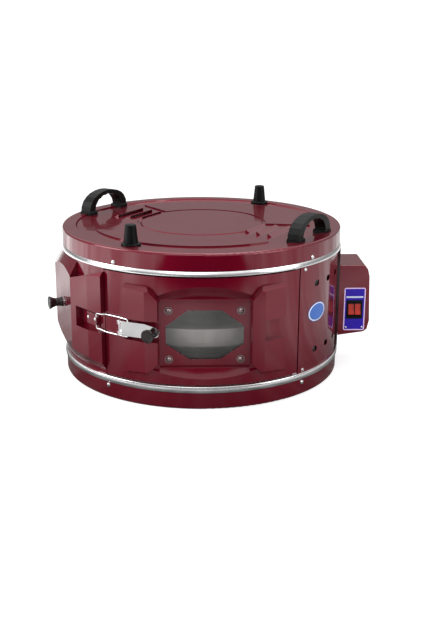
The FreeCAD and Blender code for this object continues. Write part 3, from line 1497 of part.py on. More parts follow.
def make_lid_screws():
    """Screws from under the lid into the legs and handle feet."""
    screws = []
    for index, (x, y) in enumerate(lid_screw_spots()):
        under = "lid_rim_top - lid_deck_drop - sheet_wall"
        head = solid("Cylinder", "lid_screw_head_%d" % index, (x, y, under + " - lid_screw_head_tall"),
                     Radius="lid_screw_head", Height="lid_screw_head_tall")
        shank = solid("Cylinder", "lid_screw_shank_%d" % index, (x, y, under + " - 1"),
                      Radius="lid_screw", Height="lid_screw_long")
        screws.append(fuse("lid_screw_%d" % index, head, shank))
    keep("lid_screws", group("lid_screw_set", *screws))


def make_lid_reflector():
    """The bright dish under the lid, hung from the deck by its rolled rim."""
    top = "lid_rim_top - sheet_wall - seat_gap"
    out = "reflector_radius + 18"
    low = "lid_rim_top - reflector_drop"
    keep("lid_reflector", turned("lid_reflector", [
        (out, top), (out, top + " - thin_wall"), ("reflector_radius + 8", top + " - thin_wall"),
        ("reflector_radius + 4", low), ("0", low), ("0", low + " + thin_wall"),
        ("reflector_radius + 3.4", low + " + thin_wall"), ("reflector_radius + 7.4", top)]))


# ---------------------------------------------------------------- heaters, stand and tray

def ring_heater(name, loop, height):
    """The open ring of tube and the two small bends that turn its ends to +X."""
    offset = "heater_lead_half + lead_bend"
    centre = "%s + lead_bend" % loop
    lean = "(asin((%s) / (%s)) / (1 deg))" % (offset, centre)
    bend_x = "sqrt((%s) ^ 2 - (%s) ^ 2)" % (centre, offset)
    pieces = [solid("Torus", name + "_ring", ("0", "0", height), lean, Radius1=loop,
                    Radius2="heater_tube", Angle3="360 - 2 * " + lean)]
    for side, sign, start in (("front", "-", "90"), ("back", "", "180 + " + lean)):
        pieces.append(solid("Torus", "%s_bend_%s" % (name, side), (bend_x, sign + "(%s)" % offset, height),
                            start, Radius1="lead_bend", Radius2="heater_tube", Angle3="90 - " + lean))
    return pieces, bend_x


def make_heaters():
    pieces, bend_x = ring_heater("upper_heater", "upper_loop_radius", "upper_loop_height")
    for side, sign in (("front", "-"), ("back", "")):
        pieces.append(solid("Cylinder", "upper_lead_" + side,
                            (bend_x, sign + "heater_lead_half", "upper_loop_height"), "90", (0, 1, 0),
                            Radius="heater_tube", Height="lead_out - (%s)" % bend_x))
    keep("upper_heater", fuse("upper_heater_tube", *pieces))

    pieces, bend_x = ring_heater("lower_heater", "lower_loop_radius", "lower_loop_height")
    corners = [(bend_x, "lower_loop_height"), ("lower_riser_out", "lower_loop_height"),
               ("lower_riser_out", "lower_lead_height"), ("lead_out", "lower_lead_height")]
    for side, sign in (("front", "-"), ("back", "")):
        lead = bent_rod("lower_lead_" + side, corners, "lead_bend", "heater_tube", "YZ", bend_x,
                        ("0", "lower_loop_height"))
        pieces.append(place(lead, ("0", sign + "heater_lead_half", "0")))
    keep("lower_heater", fuse("lower_heater_tube", *pieces))


def make_lead_bushes():
    """Ceramic bushes that carry the heater ends through the drum's wall."""
    bushes = []
    for tag, height in (("upper", "upper_loop_height"), ("lower", "lower_lead_height")):
        for side, sign in (("front", "-"), ("back", "")):
            name = "bush_%s_%s" % (tag, side)
            flange_back = "drum_radius - sheet_wall - bush_flange - 1.2"
            bush = turned(name, [
                ("heater_tube + hinge_fit", "0"), ("bush_flange_radius", "0"),
                ("bush_flange_radius", "bush_flange"), ("lead_hole - hinge_fit", "bush_flange"),
                ("lead_hole - hinge_fit", "bush_long"), ("heater_tube + hinge_fit", "bush_long")])
            place(bush, (flange_back, sign + "heater_lead_half", height), "90", (0, 1, 0))
            bushes.append(bush)
    keep("lead_bushes", group("lead_bush_set", *bushes))


def make_heater_clips():
    """Three plates for each ring heater, bored for the tube."""
    floor = "sill_ring_top - ring_wall - floor_dish_drop"
    out = "liner_radius - thin_wall"
    kinds = {
        "lower_heater_clips": ("lower_loop_radius", "lower_loop_height", [
            ("lower_loop_radius - 7", floor), ("lower_loop_radius + 7", floor),
            ("lower_loop_radius + 7", floor + " + 1.4"), ("lower_loop_radius + 6", "lower_loop_height + 5"),
            ("lower_loop_radius - 6", "lower_loop_height + 5"),
            ("lower_loop_radius - 7", floor + " + 1.4")], ("60", "180", "300")),
        "upper_heater_clips": ("upper_loop_radius", "upper_loop_height", [
            (out + " - seat_gap", "upper_loop_height - 9"), (out + " - seat_gap", "upper_loop_height + 9"),
            (out + " - 2", "upper_loop_height + 9"), ("upper_loop_radius - 5.6", "upper_loop_height + 5.6"),
            ("upper_loop_radius - 5.6", "upper_loop_height - 5.6"),
            (out + " - 2", "upper_loop_height - 9")], ("50", "120", "190")),
    }
    for node, (loop, height, profile, turns) in kinds.items():
        clips = []
        for index, turn in enumerate(turns):
            name = "%s_%d" % (node, index)
            plate = prism(name, "XZ", [profile], "clip_wall", both_ways=True)
            bore = solid("Cylinder", name + "_bore", (loop, "20", height), "90", (1, 0, 0),
                         Radius="heater_tube + slip_gap", Height="40")
            clips.append(place(cut(name + "_cut", plate, bore), turn=turn))
        keep(node, group(node + "_set", *clips))


def make_tray_stand():
    """A wire ring on four feet that carries the tray above the lower heater."""
    floor = "sill_ring_top - ring_wall - floor_dish_drop"
    centre = "tray_base - seat_gap - stand_wire"
    pieces = [solid("Torus", "stand_ring", ("0", "0", centre), Radius1="stand_ring_radius",
                    Radius2="stand_wire")]
    for index in range(4):
        x, y = polar("stand_ring_radius", "45 + 90 * %d" % index)
        pieces.append(solid("Cylinder", "stand_foot_%d" % index, (x, y, floor), Radius="stand_wire",
                            Height="(%s) - (%s)" % (centre, floor)))
    keep("tray_stand", fuse("tray_stand_frame", *pieces))


def make_tray():
    foot = "tray_radius - tray_taper"
    top = "tray_base + tray_tall"
    tray = turned("tray", [
        ("0", "tray_base"), (foot, "tray_base"), ("tray_radius", top + " - tray_wall"),
        ("tray_radius + tray_rim", top + " - tray_wall"), ("tray_radius + tray_rim", top),
        ("tray_radius - tray_wall", top), (foot + " - tray_wall", "tray_base + tray_wall"),
        ("0", "tray_base + tray_wall")])
    rounded(tray, "6", circle_at(foot, "tray_base"))
    rounded(tray, "5", circle_at(foot + " - tray_wall", "tray_base + tray_wall"))
    keep("tray", tray)


# ---------------------------------------------------------------- switch box

def make_back_plate():
    """A shallow curved cover on the drum that the switch box stands on."""
    seat = "drum_radius + slip_gap"
    half = arc_angle("box_half_wide")
    skin = arc_angle("back_plate_wall")
    outer = sector_ring("back_plate_form", seat + " + back_plate_deep", seat, "back_plate_foot",
                        "back_plate_head", "90 - " + half, "90 + " + half)
    inner = sector_ring("back_plate_hollow", seat + " + back_plate_deep - back_plate_wall",
                        "drum_radius - 1", "back_plate_foot + back_plate_wall",
                        "back_plate_head - back_plate_wall", "90 - %s + %s" % (half, skin),
                        "90 + %s - %s" % (half, skin))
    holes = fuse("back_plate_leads",
                 *lead_holes("plate_upper_lead", "lead_hole + 1", "upper_loop_height"),
                 *lead_holes("plate_lower_lead", "lead_hole + 1", "lower_lead_height"))
    keep("box_back_plate", cut("back_plate_cut", cut("back_plate_sheet", outer, inner), holes))


def box_loop_with_wall(skin):
    """The box's side profile, moved in by a wall."""
    root = "drum_radius - 10"
    corners = [
        (root, "box_low_root", 0, 1), ("box_low_reach", "box_low_outer", 0.5, 1),
        ("box_knee_reach", "box_knee", 0.9, 0.6), ("box_reach", "box_side_low", 1, 0.1),
        ("box_side_high_reach", "box_side_high", 1, 0),
        ("box_shoulder_reach", "box_shoulder", 0.95, -0.4), ("box_head_reach", "box_head", 0.5, -1),
        (root, "box_head", 0, -1)]
    return [("%s - %s * (%s)" % (x, back, skin), "%s + (%s) * (%s)" % (z, up, skin))
            for x, z, back, up in corners]


def make_control_box():
    """The sheet box: flat top, tapered foot, a flat front for the switch, rounded corners."""
    outer = prism("box_outer", "XZ", [box_loop_with_wall("0")], "2 * box_half_wide", both_ways=True)
    rounded(outer, "box_corner", lambda edge: abs(edge.Length - 2 * value("box_half_wide")) < 0.01
            and edge.CenterOfMass.x > value("drum_radius"))
    rounded(outer, "box_edge", lambda edge: abs(edge.BoundBox.YLength) < 0.01)
    inner = prism("box_inner", "XZ", [box_loop_with_wall("box_wall")],
                  "2 * box_half_wide - 2 * box_wall", both_ways=True)
    core = solid("Cylinder", "box_core", Height="400",
                 Radius="drum_radius + 2 * slip_gap + back_plate_deep")
    window = slab("box_switch_hole", [box_loop(
        "label_centre - switch_wide / 2 + switch_rim - slip_gap",
        "switch_height - switch_tall / 2 + switch_rim - slip_gap",
        "label_centre + switch_wide / 2 - switch_rim + slip_gap",
        "switch_height + switch_tall / 2 - switch_rim + slip_gap")], "box_half_wide + 9", "20")
    gland_hole = solid("Cylinder", "box_gland_hole", ("label_centre", "box_half_wide + 5",
                                                       "gland_height"), "90", (1, 0, 0),
                       Radius="gland_neck + slip_gap", Height="20")
    tools = fuse("box_cutters", core, window, gland_hole)
    keep("control_box", cut("box_cut", cut("box_sheet", outer, inner), tools))


def make_label_plate():
    plate = slab("label_plate", [
        box_loop("label_centre - label_wide / 2", "label_low", "label_centre + label_wide / 2",
                 "label_low + label_tall"),
        box_loop("label_centre - switch_wide / 2 + switch_rim - slip_gap",
                 "switch_height - switch_tall / 2 + switch_rim - slip_gap",
                 "label_centre + switch_wide / 2 - switch_rim + slip_gap",
                 "switch_height + switch_tall / 2 - switch_rim + slip_gap")],
        "box_half_wide + label_wall", "box_half_wide")
    rounded(plate, "3", lambda edge: abs(edge.Length - value("label_wall")) < 0.001
            and abs(edge.CenterOfMass.x - value("label_centre")) > value("label_wide / 2") - 0.01)
    keep("label_plate", plate)


ROCKER_AXIS_Y = "-box_half_wide + 2"


def rocker_x(sign):
    return "label_centre + %s * rocker_pitch / 2" % sign


def make_switch():
    """The switch housing with its bezel, and two rockers that turn about X."""
    face = "box_half_wide + label_wall"
    bezel = slab("switch_bezel", [box_loop(
        "label_centre - switch_wide / 2", "switch_height - switch_tall / 2",
        "label_centre + switch_wide / 2", "switch_height + switch_tall / 2")],
        face + " + switch_bezel_proud", face)
    front = face + " + switch_bezel_proud"
    rounded(bezel, "1.2", lambda edge: abs(edge.CenterOfMass.y + value(front)) < 0.01
            or abs(edge.Length - value("switch_bezel_proud")) < 0.001)
    housing = slab("switch_housing", [box_loop(
        "label_centre - switch_wide / 2 + switch_rim", "switch_height - switch_tall / 2 + switch_rim",
        "label_centre + switch_wide / 2 - switch_rim",
        "switch_height + switch_tall / 2 - switch_rim")], face, "box_half_wide - switch_body_long")
    wells = [slab("rocker_well_" + tag, [box_loop(
        rocker_x(sign) + " - rocker_wide / 2 - rocker_gap",
        "switch_height - rocker_radius - rocker_gap",
        rocker_x(sign) + " + rocker_wide / 2 + rocker_gap",
        "switch_height + rocker_radius + rocker_gap")], face + " + 9",
        "box_half_wide - 2 - rocker_radius - 1") for tag, sign in (("left", "-1"), ("right", "1"))]
    pins = [solid("Cylinder", "rocker_pin_" + tag, (
        rocker_x(sign) + " - rocker_wide / 2 - rocker_gap - 0.2", ROCKER_AXIS_Y, "switch_height"),
        "90", (0, 1, 0), Radius="rocker_pin", Height="rocker_wide + 2 * rocker_gap + 0.4")
        for tag, sign in (("left", "-1"), ("right", "1"))]
    shell = cut("switch_shell", fuse("switch_blank", bezel, housing), fuse("rocker_wells", *wells))
    keep("switch_body", fuse("switch_with_pins", shell, *pins))
    for tag, sign in (("left", "-1"), ("right", "1")):
        keep("rocker_" + tag, make_rocker(tag, sign))


def make_rocker(tag, sign):
    name = "rocker_" + tag
    wide = "rocker_wide"
    drum = solid("Cylinder", name + "_drum", ("-(%s) / 2" % wide, "0", "0"), "90", (0, 1, 0),
                 Radius="rocker_radius", Height=wide)
    rise = "rocker_radius * sin(rocker_tilt) / cos(rocker_tilt)"
    wedge = prism(name + "_wedge", "YZ", [[
        ("-rocker_valley", "0"), ("-rocker_valley - (%s)" % rise, "rocker_radius + 1"),
        ("rocker_back", "rocker_radius + 1"), ("rocker_back", "-rocker_radius - 1"),
        ("-rocker_valley - (%s)" % rise, "-rocker_radius - 1")]], "rocker_wide + 4", both_ways=True)
    bore = solid("Cylinder", name + "_bore", ("-20", "0", "0"), "90", (0, 1, 0),
                 Radius="rocker_pin + hinge_fit", Height="40")
    body = cut(name + "_cut", common(name + "_form", drum, wedge), bore)
    return place(body, (rocker_x(sign), ROCKER_AXIS_Y, "switch_height"), "-rocker_tilt", (1, 0, 0))


def make_terminals():
    """A terminal block on the rear wall of the box, and its screws."""
    wall = "box_half_wide - box_wall"
    block = solid("Box", "terminal_form", ("label_centre - terminal_long / 2", wall + " - terminal_deep",
                                           "terminal_height"), Length="terminal_long",
                  Width="terminal_deep", Height="terminal_tall")
    holes = []
    screws = []
    for index in range(3):
        spot = ("label_centre + (%d) * terminal_long / 3" % (index - 1),
                wall + " - terminal_deep + 6", "terminal_height + terminal_tall / 2")
        holes.append(solid("Cylinder", "terminal_hole_%d" % index, spot, "90", (1, 0, 0),
                           Radius="terminal_screw + 0.3", Height="20"))
        screws.append(solid("Cylinder", "terminal_screw_%d" % index, spot, "90", (1, 0, 0),
                            Radius="terminal_screw", Height="4.5"))
    keep("terminal_block", cut("terminal_cut", block, fuse("terminal_holes", *holes)))
    keep("terminal_screws", group("terminal_screw_set", *screws))


def make_gland():
    """The empty cable gland in the box's rear wall."""
    gland = turned("cord_gland", [
        ("gland_bore", "-gland_inside"), ("gland_neck", "-gland_inside"), ("gland_neck", "0"),
        ("gland_radius", "0"), ("gland_radius", "gland_flange"), ("gland_neck", "gland_outside"),
        ("gland_bore", "gland_outside")])
    keep("cord_gland", place(gland, ("label_centre", "box_half_wide", "gland_height"), "-90", (1, 0, 0)))


# ---------------------------------------------------------------- build and export

def build():
    make_base_pan()
    make_hoop("lower_hoop", "lower_hoop_base", "lower_hoop_tall", PAN_OUTER + " + slip_gap",
              "drum_radius + slip_gap")
    make_hoop("upper_hoop", "upper_hoop_base", "upper_hoop_tall", "drum_radius + slip_gap",
              "drum_radius - 1")
    make_drum()
    make_screws("pan_screws", "pan_screw_azimuth", "pan_screw_height", PAN_OUTER,
                "sheet_wall + slip_gap + sheet_wall + 2")
    make_liner()
    make_rings()
    make_floor()
    make_post("door_post_left", "-latch_side_azimuth - " + arc_angle("latch_gap + 0.4"), "-1")
    make_post("door_post_right", "hinge_side_azimuth + " + arc_angle("hinge_gap + 0.1"), "1")
    make_hinge()
    make_hinge_pins()
    make_hinge_rivets()
    make_door_panel()
    make_window()
    make_door_liner()
    make_hinge_tube()
    make_latch_base()
    make_latch_lever()
    make_latch_knob()
    make_latch_bail()
    make_latch_catch()
    make_side_knob()
    make_lid()
    make_legs()
    make_handles()
    make_lid_screws()
    make_screws("lid_skirt_screws", "lid_screw_azimuth", "lid_screw_height", "lid_radius",
                "sheet_wall + 0.6")
    make_lid_reflector()
    make_heaters()
    make_lead_bushes()
    make_heater_clips()
    make_tray_stand()
    make_tray()
    make_back_plate()
    make_control_box()
    make_label_plate()
    make_switch()
    make_terminals()
    make_gland()


def check_and_export():
    doc.recompute()
    failed = [thing.Name for thing in doc.Objects
              if "Invalid" in thing.State or "Error" in thing.State]
    if failed:
        raise RuntimeError("objects failed: " + ", ".join(failed))
    for node, thing in parts.items():
        shape = thing.Shape
        if shape.isNull() or not shape.isValid() or not shape.Solids:
            raise RuntimeError("bad shape: " + node)
    os.makedirs("parts", exist_ok=True)
    for node, thing in parts.items():
        thing.Shape.exportStep("parts/%s.step" % node)
        print("%-22s solids %2d  volume %12.1f" % (node, len(thing.Shape.Solids), thing.Shape.Volume))


build()
check_and_export()
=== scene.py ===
"""Looks of a round countertop drum oven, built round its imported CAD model.

Metres, with +Z up and the front towards -Y. Every CAD piece keeps its mesh but the two hoops,
which get their crowned faces here. The tray's bead, the label's screws and the oval badge are
shaped here too.
"""
import json
import math

import bpy
from mathutils import Matrix, Vector

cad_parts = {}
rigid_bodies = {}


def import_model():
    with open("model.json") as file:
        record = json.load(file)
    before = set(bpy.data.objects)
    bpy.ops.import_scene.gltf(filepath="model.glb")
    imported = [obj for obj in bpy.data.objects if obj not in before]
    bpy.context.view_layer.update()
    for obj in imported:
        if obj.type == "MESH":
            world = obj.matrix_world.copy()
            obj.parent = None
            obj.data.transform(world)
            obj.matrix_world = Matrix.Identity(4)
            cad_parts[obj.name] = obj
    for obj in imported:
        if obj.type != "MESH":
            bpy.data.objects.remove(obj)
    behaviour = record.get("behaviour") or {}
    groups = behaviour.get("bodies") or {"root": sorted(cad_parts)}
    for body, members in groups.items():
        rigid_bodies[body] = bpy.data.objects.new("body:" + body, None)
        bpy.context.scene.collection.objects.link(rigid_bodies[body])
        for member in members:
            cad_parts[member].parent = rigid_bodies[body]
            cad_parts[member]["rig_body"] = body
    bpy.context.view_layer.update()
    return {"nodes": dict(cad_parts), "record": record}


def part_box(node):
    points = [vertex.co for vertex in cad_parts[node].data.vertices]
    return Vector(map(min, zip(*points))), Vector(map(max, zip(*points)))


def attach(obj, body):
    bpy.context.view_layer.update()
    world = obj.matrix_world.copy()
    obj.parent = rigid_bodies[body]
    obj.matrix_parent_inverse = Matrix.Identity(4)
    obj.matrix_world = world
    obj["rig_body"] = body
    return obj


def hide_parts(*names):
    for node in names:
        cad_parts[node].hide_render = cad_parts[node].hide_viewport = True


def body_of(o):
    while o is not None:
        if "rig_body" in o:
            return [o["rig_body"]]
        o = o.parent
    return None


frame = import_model()
NODES = frame["nodes"]
SLOTS = {row["node"]: row["material_slot"] for row in frame["record"]["subparts"]}
MM = 0.001
FULL_TURN = 2.0 * math.pi


# ------------------------------------------------------------------ camera, matched to the view

CAMERA_SPOT = Vector((-0.03804, -1.61324, 0.57781))
CAMERA_AIM = Vector((0.01546, -0.00051, 0.07893))
CAMERA_ROLL = math.radians(0.16)
CAMERA_LENS_MM = 56.07
CAMERA_SENSOR_MM = 36.0


def facing(spot, aim):
    """Place and turn of something that stands at a spot and looks at an aim along its -Z."""
    return Matrix.Translation(spot) @ (aim - spot).to_track_quat("-Z", "Y").to_matrix().to_4x4()


def make_camera():
    data = bpy.data.cameras.new("camera")
    data.lens = CAMERA_LENS_MM
    data.sensor_width = CAMERA_SENSOR_MM
    data.sensor_fit = "AUTO"
    camera = bpy.data.objects.new("camera", data)
    camera.matrix_world = facing(CAMERA_SPOT, CAMERA_AIM) @ Matrix.Rotation(CAMERA_ROLL, 4, "Z")
    bpy.context.scene.collection.objects.link(camera)
    bpy.context.scene.camera = camera


# ------------------------------------------------------------------ node helpers

NOISE_SPREAD = (0.3, 0.8)             # the range that most values of a noise lie in
RING_STRETCH = (1.5, 1500.0, 700.0)   # of the noise for rings: by angle, radius and height


class Graph:
    """Short ways to add nodes to a material's or a world's tree and to wire them."""

    def __init__(self, tree):
        self.tree = tree

    def node(self, kind, **settings):
        made = self.tree.nodes.new(kind)
        for key, setting in settings.items():
            setattr(made, key, setting)
        return made

    def wire(self, source, target):
        """Link an output to an input, or give the input a plain value."""
        if isinstance(source, bpy.types.NodeSocket):
            self.tree.links.new(source, target)
        else:
            target.default_value = source

    def math(self, operation, first, second=0.0):
        made = self.node("ShaderNodeMath", operation=operation)
        self.wire(first, made.inputs[0])
        self.wire(second, made.inputs[1])
        return made.outputs["Value"]

    def span(self, source, given, wanted, shape="LINEAR"):
        """Map a number from a given range to a wanted one, clamped at both ends."""
        made = self.node("ShaderNodeMapRange", interpolation_type=shape)
        self.wire(source, made.inputs["Value"])
        for key, number in zip(("From Min", "From Max", "To Min", "To Max"), given + wanted):
            made.inputs[key].default_value = number
        return made.outputs["Result"]

    def ease(self, source, given, wanted):
        """A span that starts and ends softly."""
        return self.span(source, given, wanted, "SMOOTHSTEP")

    def length(self, vector):
        made = self.node("ShaderNodeVectorMath", operation="LENGTH")
        self.wire(vector, made.inputs[0])
        return made.outputs["Value"]

    def parts(self, vector):
        """The X, Y and Z of a vector."""
        made = self.node("ShaderNodeSeparateXYZ")
        self.wire(vector, made.inputs["Vector"])
        return [made.outputs[key] for key in "XYZ"]

    def joined(self, *numbers):
        """A vector of up to three numbers, with 0 for those left out."""
        made = self.node("ShaderNodeCombineXYZ")
        for key, number in zip("XYZ", numbers):
            self.wire(number, made.inputs[key])
        return made.outputs["Vector"]

    def stretched(self, vector, scale):
        made = self.node("ShaderNodeMapping")
        made.inputs["Scale"].default_value = scale
        self.wire(vector, made.inputs["Vector"])
        return made.outputs["Vector"]

    def noise(self, where, scale, detail, rough):
        made = self.node("ShaderNodeTexNoise")
        for key, value in (("Vector", where), ("Scale", scale), ("Detail", detail),
                           ("Roughness", rough)):
            self.wire(value, made.inputs[key])
        return made.outputs["Fac"]


class Shader(Graph):
    """A new material with its Principled shader, and short ways to vary that shader's inputs."""

    def __init__(self, name):
        self.material = bpy.data.materials.new(name)
        self.material.use_nodes = True
        super().__init__(self.material.node_tree)
        self.main = self.tree.nodes["Principled BSDF"]
        self.place = self.node("ShaderNodeTexCoord").outputs["Object"]

    def set(self, **values):
        """Plain values for inputs of the shader, named with _ for each space."""
        for key, value in values.items():
            self.main.inputs[key.replace("_", " ")].default_value = value

    def speckle(self, scale, detail=2.0, rough=0.5, stretch=None):
        """Noise that sticks to the piece, finer with a larger scale."""
        where = self.stretched(self.place, stretch) if stretch else self.place
        return self.noise(where, scale, detail, rough)

    def rings(self):
        """Noise in fine rings about the oven's axis, as spinning and rolling leave."""
        x, y, z = self.parts(self.place)
        around = self.joined(self.math("ARCTAN2", y, x), self.length(self.joined(x, y)), z)
        return self.noise(self.stretched(around, RING_STRETCH), scale=1.0, detail=3.0, rough=0.6)

    def mixed(self, factor, first, second):
        """A colour between two."""
        made = self.node("ShaderNodeMix", data_type="RGBA")
        self.wire(factor, made.inputs["Factor"])
        for key, colour in (("A", first), ("B", second)):
            self.wire(colour, next(s for s in made.inputs if s.name == key and s.type == "RGBA"))
        return next(s for s in made.outputs if s.type == "RGBA")

    def blotched(self, source, first, second, given=NOISE_SPREAD):
        """A colour that goes from the first to the second as a noise goes through its range."""
        return self.mixed(self.span(source, given, (0.0, 1.0)), first, second)

    def colour(self, source):
        self.wire(source, self.main.inputs["Base Color"])

    def rough(self, source, low, high, given=NOISE_SPREAD):
        """Roughness that goes from low to high as a noise goes through its range."""
        self.wire(self.span(source, given, (low, high)), self.main.inputs["Roughness"])

    def bump(self, source, strength, distance, under=None):
        """A normal with small relief, on top of another where one is given."""
        made = self.node("ShaderNodeBump")
        made.inputs["Strength"].default_value = strength
        made.inputs["Distance"].default_value = distance
        self.wire(source, made.inputs["Height"])
        if under is not None:
            self.wire(under, made.inputs["Normal"])
        return made.outputs["Normal"]

    def normal(self, source, socket="Normal"):
        self.wire(source, self.main.inputs[socket])


def srgb(red, green, blue):
    """A colour in screen levels, 0 to 255, as linear RGBA."""
    def linear(level):
        share = level / 255.0
        return share / 12.92 if share <= 0.04045 else ((share + 0.055) / 1.055) ** 2.4
    return (linear(red), linear(green), linear(blue), 1.0)


def dimmed(colour, share):
    return tuple(part * share for part in colour[:3]) + (1.0,)


# ------------------------------------------------------------------ materials

def enamel(name, base, deep, flake=0.52):
    """Baked enamel with metal flake under a clear coat, on pressed sheet: deeper patches, faint
    ripples that run down the wall and a little orange peel, which the coat shows too."""
    s = Shader(name)
    s.colour(s.blotched(s.speckle(9.0, detail=3.0, rough=0.55), base, deep, given=(0.3, 0.7)))
    s.rough(s.speckle(34.0, detail=4.0, rough=0.6), 0.4, 0.48, given=(0.35, 0.75))
    ripples = s.bump(s.speckle(15.0, rough=0.45, stretch=(1.0, 1.0, 0.35)),
                     strength=0.2, distance=4.0 * MM)
    peel = s.bump(s.speckle(1300.0, detail=1.0), strength=0.05, distance=0.3 * MM, under=ripples)
    s.normal(peel)
    s.normal(peel, "Coat Normal")
    s.set(Metallic=flake, Specular_IOR_Level=0.0)
    s.set(Coat_Weight=1.0, Coat_Roughness=0.03, Coat_IOR=1.5)
    return s.material


def plated(name, tint, rough=0.1, scratch=0.05, stretch=None):
    """Bright plated or polished metal with dimmer clouds and faint wiping marks."""
    s = Shader(name)
    s.colour(s.blotched(s.speckle(40.0, detail=3.0, rough=0.6), tint, dimmed(tint, 0.86)))
    s.rough(s.speckle(220.0, detail=4.0, rough=0.6, stretch=stretch), rough, rough + 0.12)
    s.normal(s.bump(s.speckle(900.0, stretch=stretch), strength=scratch, distance=0.4 * MM))
    s.set(Metallic=1.0)
    return s.material


def spun(name, tint):
    """Spun or rolled aluminium: dimmer clouds and fine rings about the oven's axis."""
    s = Shader(name)
    clouds = s.speckle(14.0, detail=4.0, rough=0.6)
    s.colour(s.blotched(clouds, tint, dimmed(tint, 0.78), given=(0.3, 0.75)))
    rings = s.rings()
    s.rough(rings, 0.22, 0.36, given=(0.3, 0.7))
    s.normal(s.bump(rings, strength=0.22, distance=0.3 * MM))
    s.set(Metallic=0.35)
    return s.material


def tinned(name, light, dull, metallic):
    """Tinned steel, dulled by use, with fine rings from the spinning."""
    s = Shader(name)
    stains = s.speckle(22.0, detail=4.0, rough=0.6)
    s.colour(s.blotched(stains, light, dull, given=(0.35, 0.75)))
    rings = s.rings()
    s.rough(rings, 0.32, 0.46, given=(0.3, 0.7))
    s.normal(s.bump(rings, strength=0.3, distance=0.4 * MM))
    s.set(Metallic=metallic)
    return s.material


def moulded(name, base, rough, grain=0.12, shine=0.5):
    """Moulded plastic or rubber with a fine grain and lighter, duller rubbed patches."""
    s = Shader(name)
    rubbed = tuple(min(1.0, part * 1.35 + 0.002) for part in base[:3]) + (1.0,)
    wear = s.speckle(55.0, detail=3.0, rough=0.6)
    s.colour(s.blotched(wear, base, rubbed, given=(0.45, 0.8)))
    s.rough(wear, rough, rough + 0.14)
    s.normal(s.bump(s.speckle(1600.0, rough=0.6), strength=grain, distance=0.3 * MM))
    s.set(Specular_IOR_Level=shine)
    return s.material


def pane():
    """Toughened glass with a light haze, and a thin grey veil over what lies behind it."""
    s = Shader("window_pane")
    s.rough(s.speckle(60.0, detail=4.0, rough=0.6), 0.0, 0.05, given=(0.4, 0.8))
    s.set(Base_Color=srgb(253, 252, 249), Transmission_Weight=1.0, IOR=1.55, Alpha=0.9)
    return s.material


def sheath():
    """Heater tube: dark oxide over steel, browner in patches."""
    s = Shader("heater_sheath")
    heat = s.speckle(30.0, detail=4.0, rough=0.6)
    s.colour(s.blotched(heat, srgb(88, 80, 76), srgb(120, 92, 70), given=(0.35, 0.7)))
    s.rough(heat, 0.38, 0.6)
    s.normal(s.bump(s.speckle(900.0), strength=0.1, distance=0.4 * MM))
    s.set(Metallic=0.8)
    return s.material


def ceramic():
    """Unglazed white ceramic with darker spots."""
    s = Shader("white_ceramic")
    spots = s.speckle(400.0)
    s.colour(s.blotched(spots, srgb(226, 221, 210), srgb(206, 197, 182), given=(0.5, 0.75)))
    s.rough(spots, 0.45, 0.65)
    s.normal(s.bump(spots, strength=0.1, distance=0.3 * MM))
    return s.material


PRINT_EDGE = 0.15 * MM        # half the width over which one ink gives way to the next
LABEL_BORDER = 1.7 * MM
LABEL_BAR_INSET = 3.6 * MM    # from the label's left and right edges
LABEL_BAR_TOP = 14.6 * MM     # down from the label's upper edge
LABEL_BAR_FOOT = 17.5 * MM    # down from the same edge


def label_print():
    """The plain label: a blue field with a pale border and one white bar."""
    s = Shader("label_print")
    x, _, z = s.parts(s.place)
    low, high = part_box("label_plate")

    def inside(number, start, end):
        rise = s.span(number, (start - PRINT_EDGE, start + PRINT_EDGE), (0.0, 1.0))
        fall = s.span(number, (end - PRINT_EDGE, end + PRINT_EDGE), (1.0, 0.0))
        return s.math("MULTIPLY", rise, fall)

    def patch(inset, foot, top):
        """1 in a rectangle that keeps the same inset at the left and the right."""
        across = inside(x, low.x + inset, high.x - inset)
        return s.math("MULTIPLY", across, inside(z, foot, top))

    grain = s.speckle(700.0)
    ink = s.blotched(grain, srgb(40, 2, 172), srgb(34, 2, 154))
    field = patch(LABEL_BORDER, low.z + LABEL_BORDER, high.z - LABEL_BORDER)
    bar = patch(LABEL_BAR_INSET, high.z - LABEL_BAR_FOOT, high.z - LABEL_BAR_TOP)
    s.colour(s.mixed(bar, s.mixed(field, srgb(235, 204, 248), ink), srgb(206, 214, 236)))
    s.rough(grain, 0.2, 0.32)
    s.normal(s.bump(grain, strength=0.05, distance=0.2 * MM))
    s.set(Specular_IOR_Level=0.35)
    return s.material


BADGE_AZIMUTH = math.radians(51.0)    # from the front towards the right
BADGE_HEIGHT = 129 * MM
BADGE_HALF_WIDE = 25 * MM
BADGE_HALF_TALL = 15.5 * MM
BADGE_THICK = 0.25 * MM
BADGE_RINGS, BADGE_TURNS = 4, 48
BADGE_LINE_START = (0.82, 0.84)       # the white line's soft edges, as shares of the half axes
BADGE_LINE_END = (0.93, 0.95)


def badge_print(centre):
    """A plain blue oval with a white line inside its edge, drawn about its own centre."""
    s = Shader("oval_badge_print")
    oval = s.node("ShaderNodeMapping", vector_type="TEXTURE")
    oval.inputs["Location"].default_value = centre
    oval.inputs["Scale"].default_value = (BADGE_HALF_WIDE, BADGE_HALF_WIDE, BADGE_HALF_TALL)
    s.wire(s.place, oval.inputs["Vector"])
    away = s.length(oval.outputs["Vector"])
    line = s.math("MULTIPLY", s.span(away, BADGE_LINE_START, (0.0, 1.0)),
                  s.span(away, BADGE_LINE_END, (1.0, 0.0)))
    grain = s.speckle(900.0)
    ink = s.blotched(grain, srgb(52, 108, 194), srgb(42, 94, 180))
    s.colour(s.mixed(line, ink, srgb(232, 236, 246)))
    s.rough(grain, 0.25, 0.35)
    s.normal(s.bump(grain, strength=0.05, distance=0.2 * MM))
    return s.material


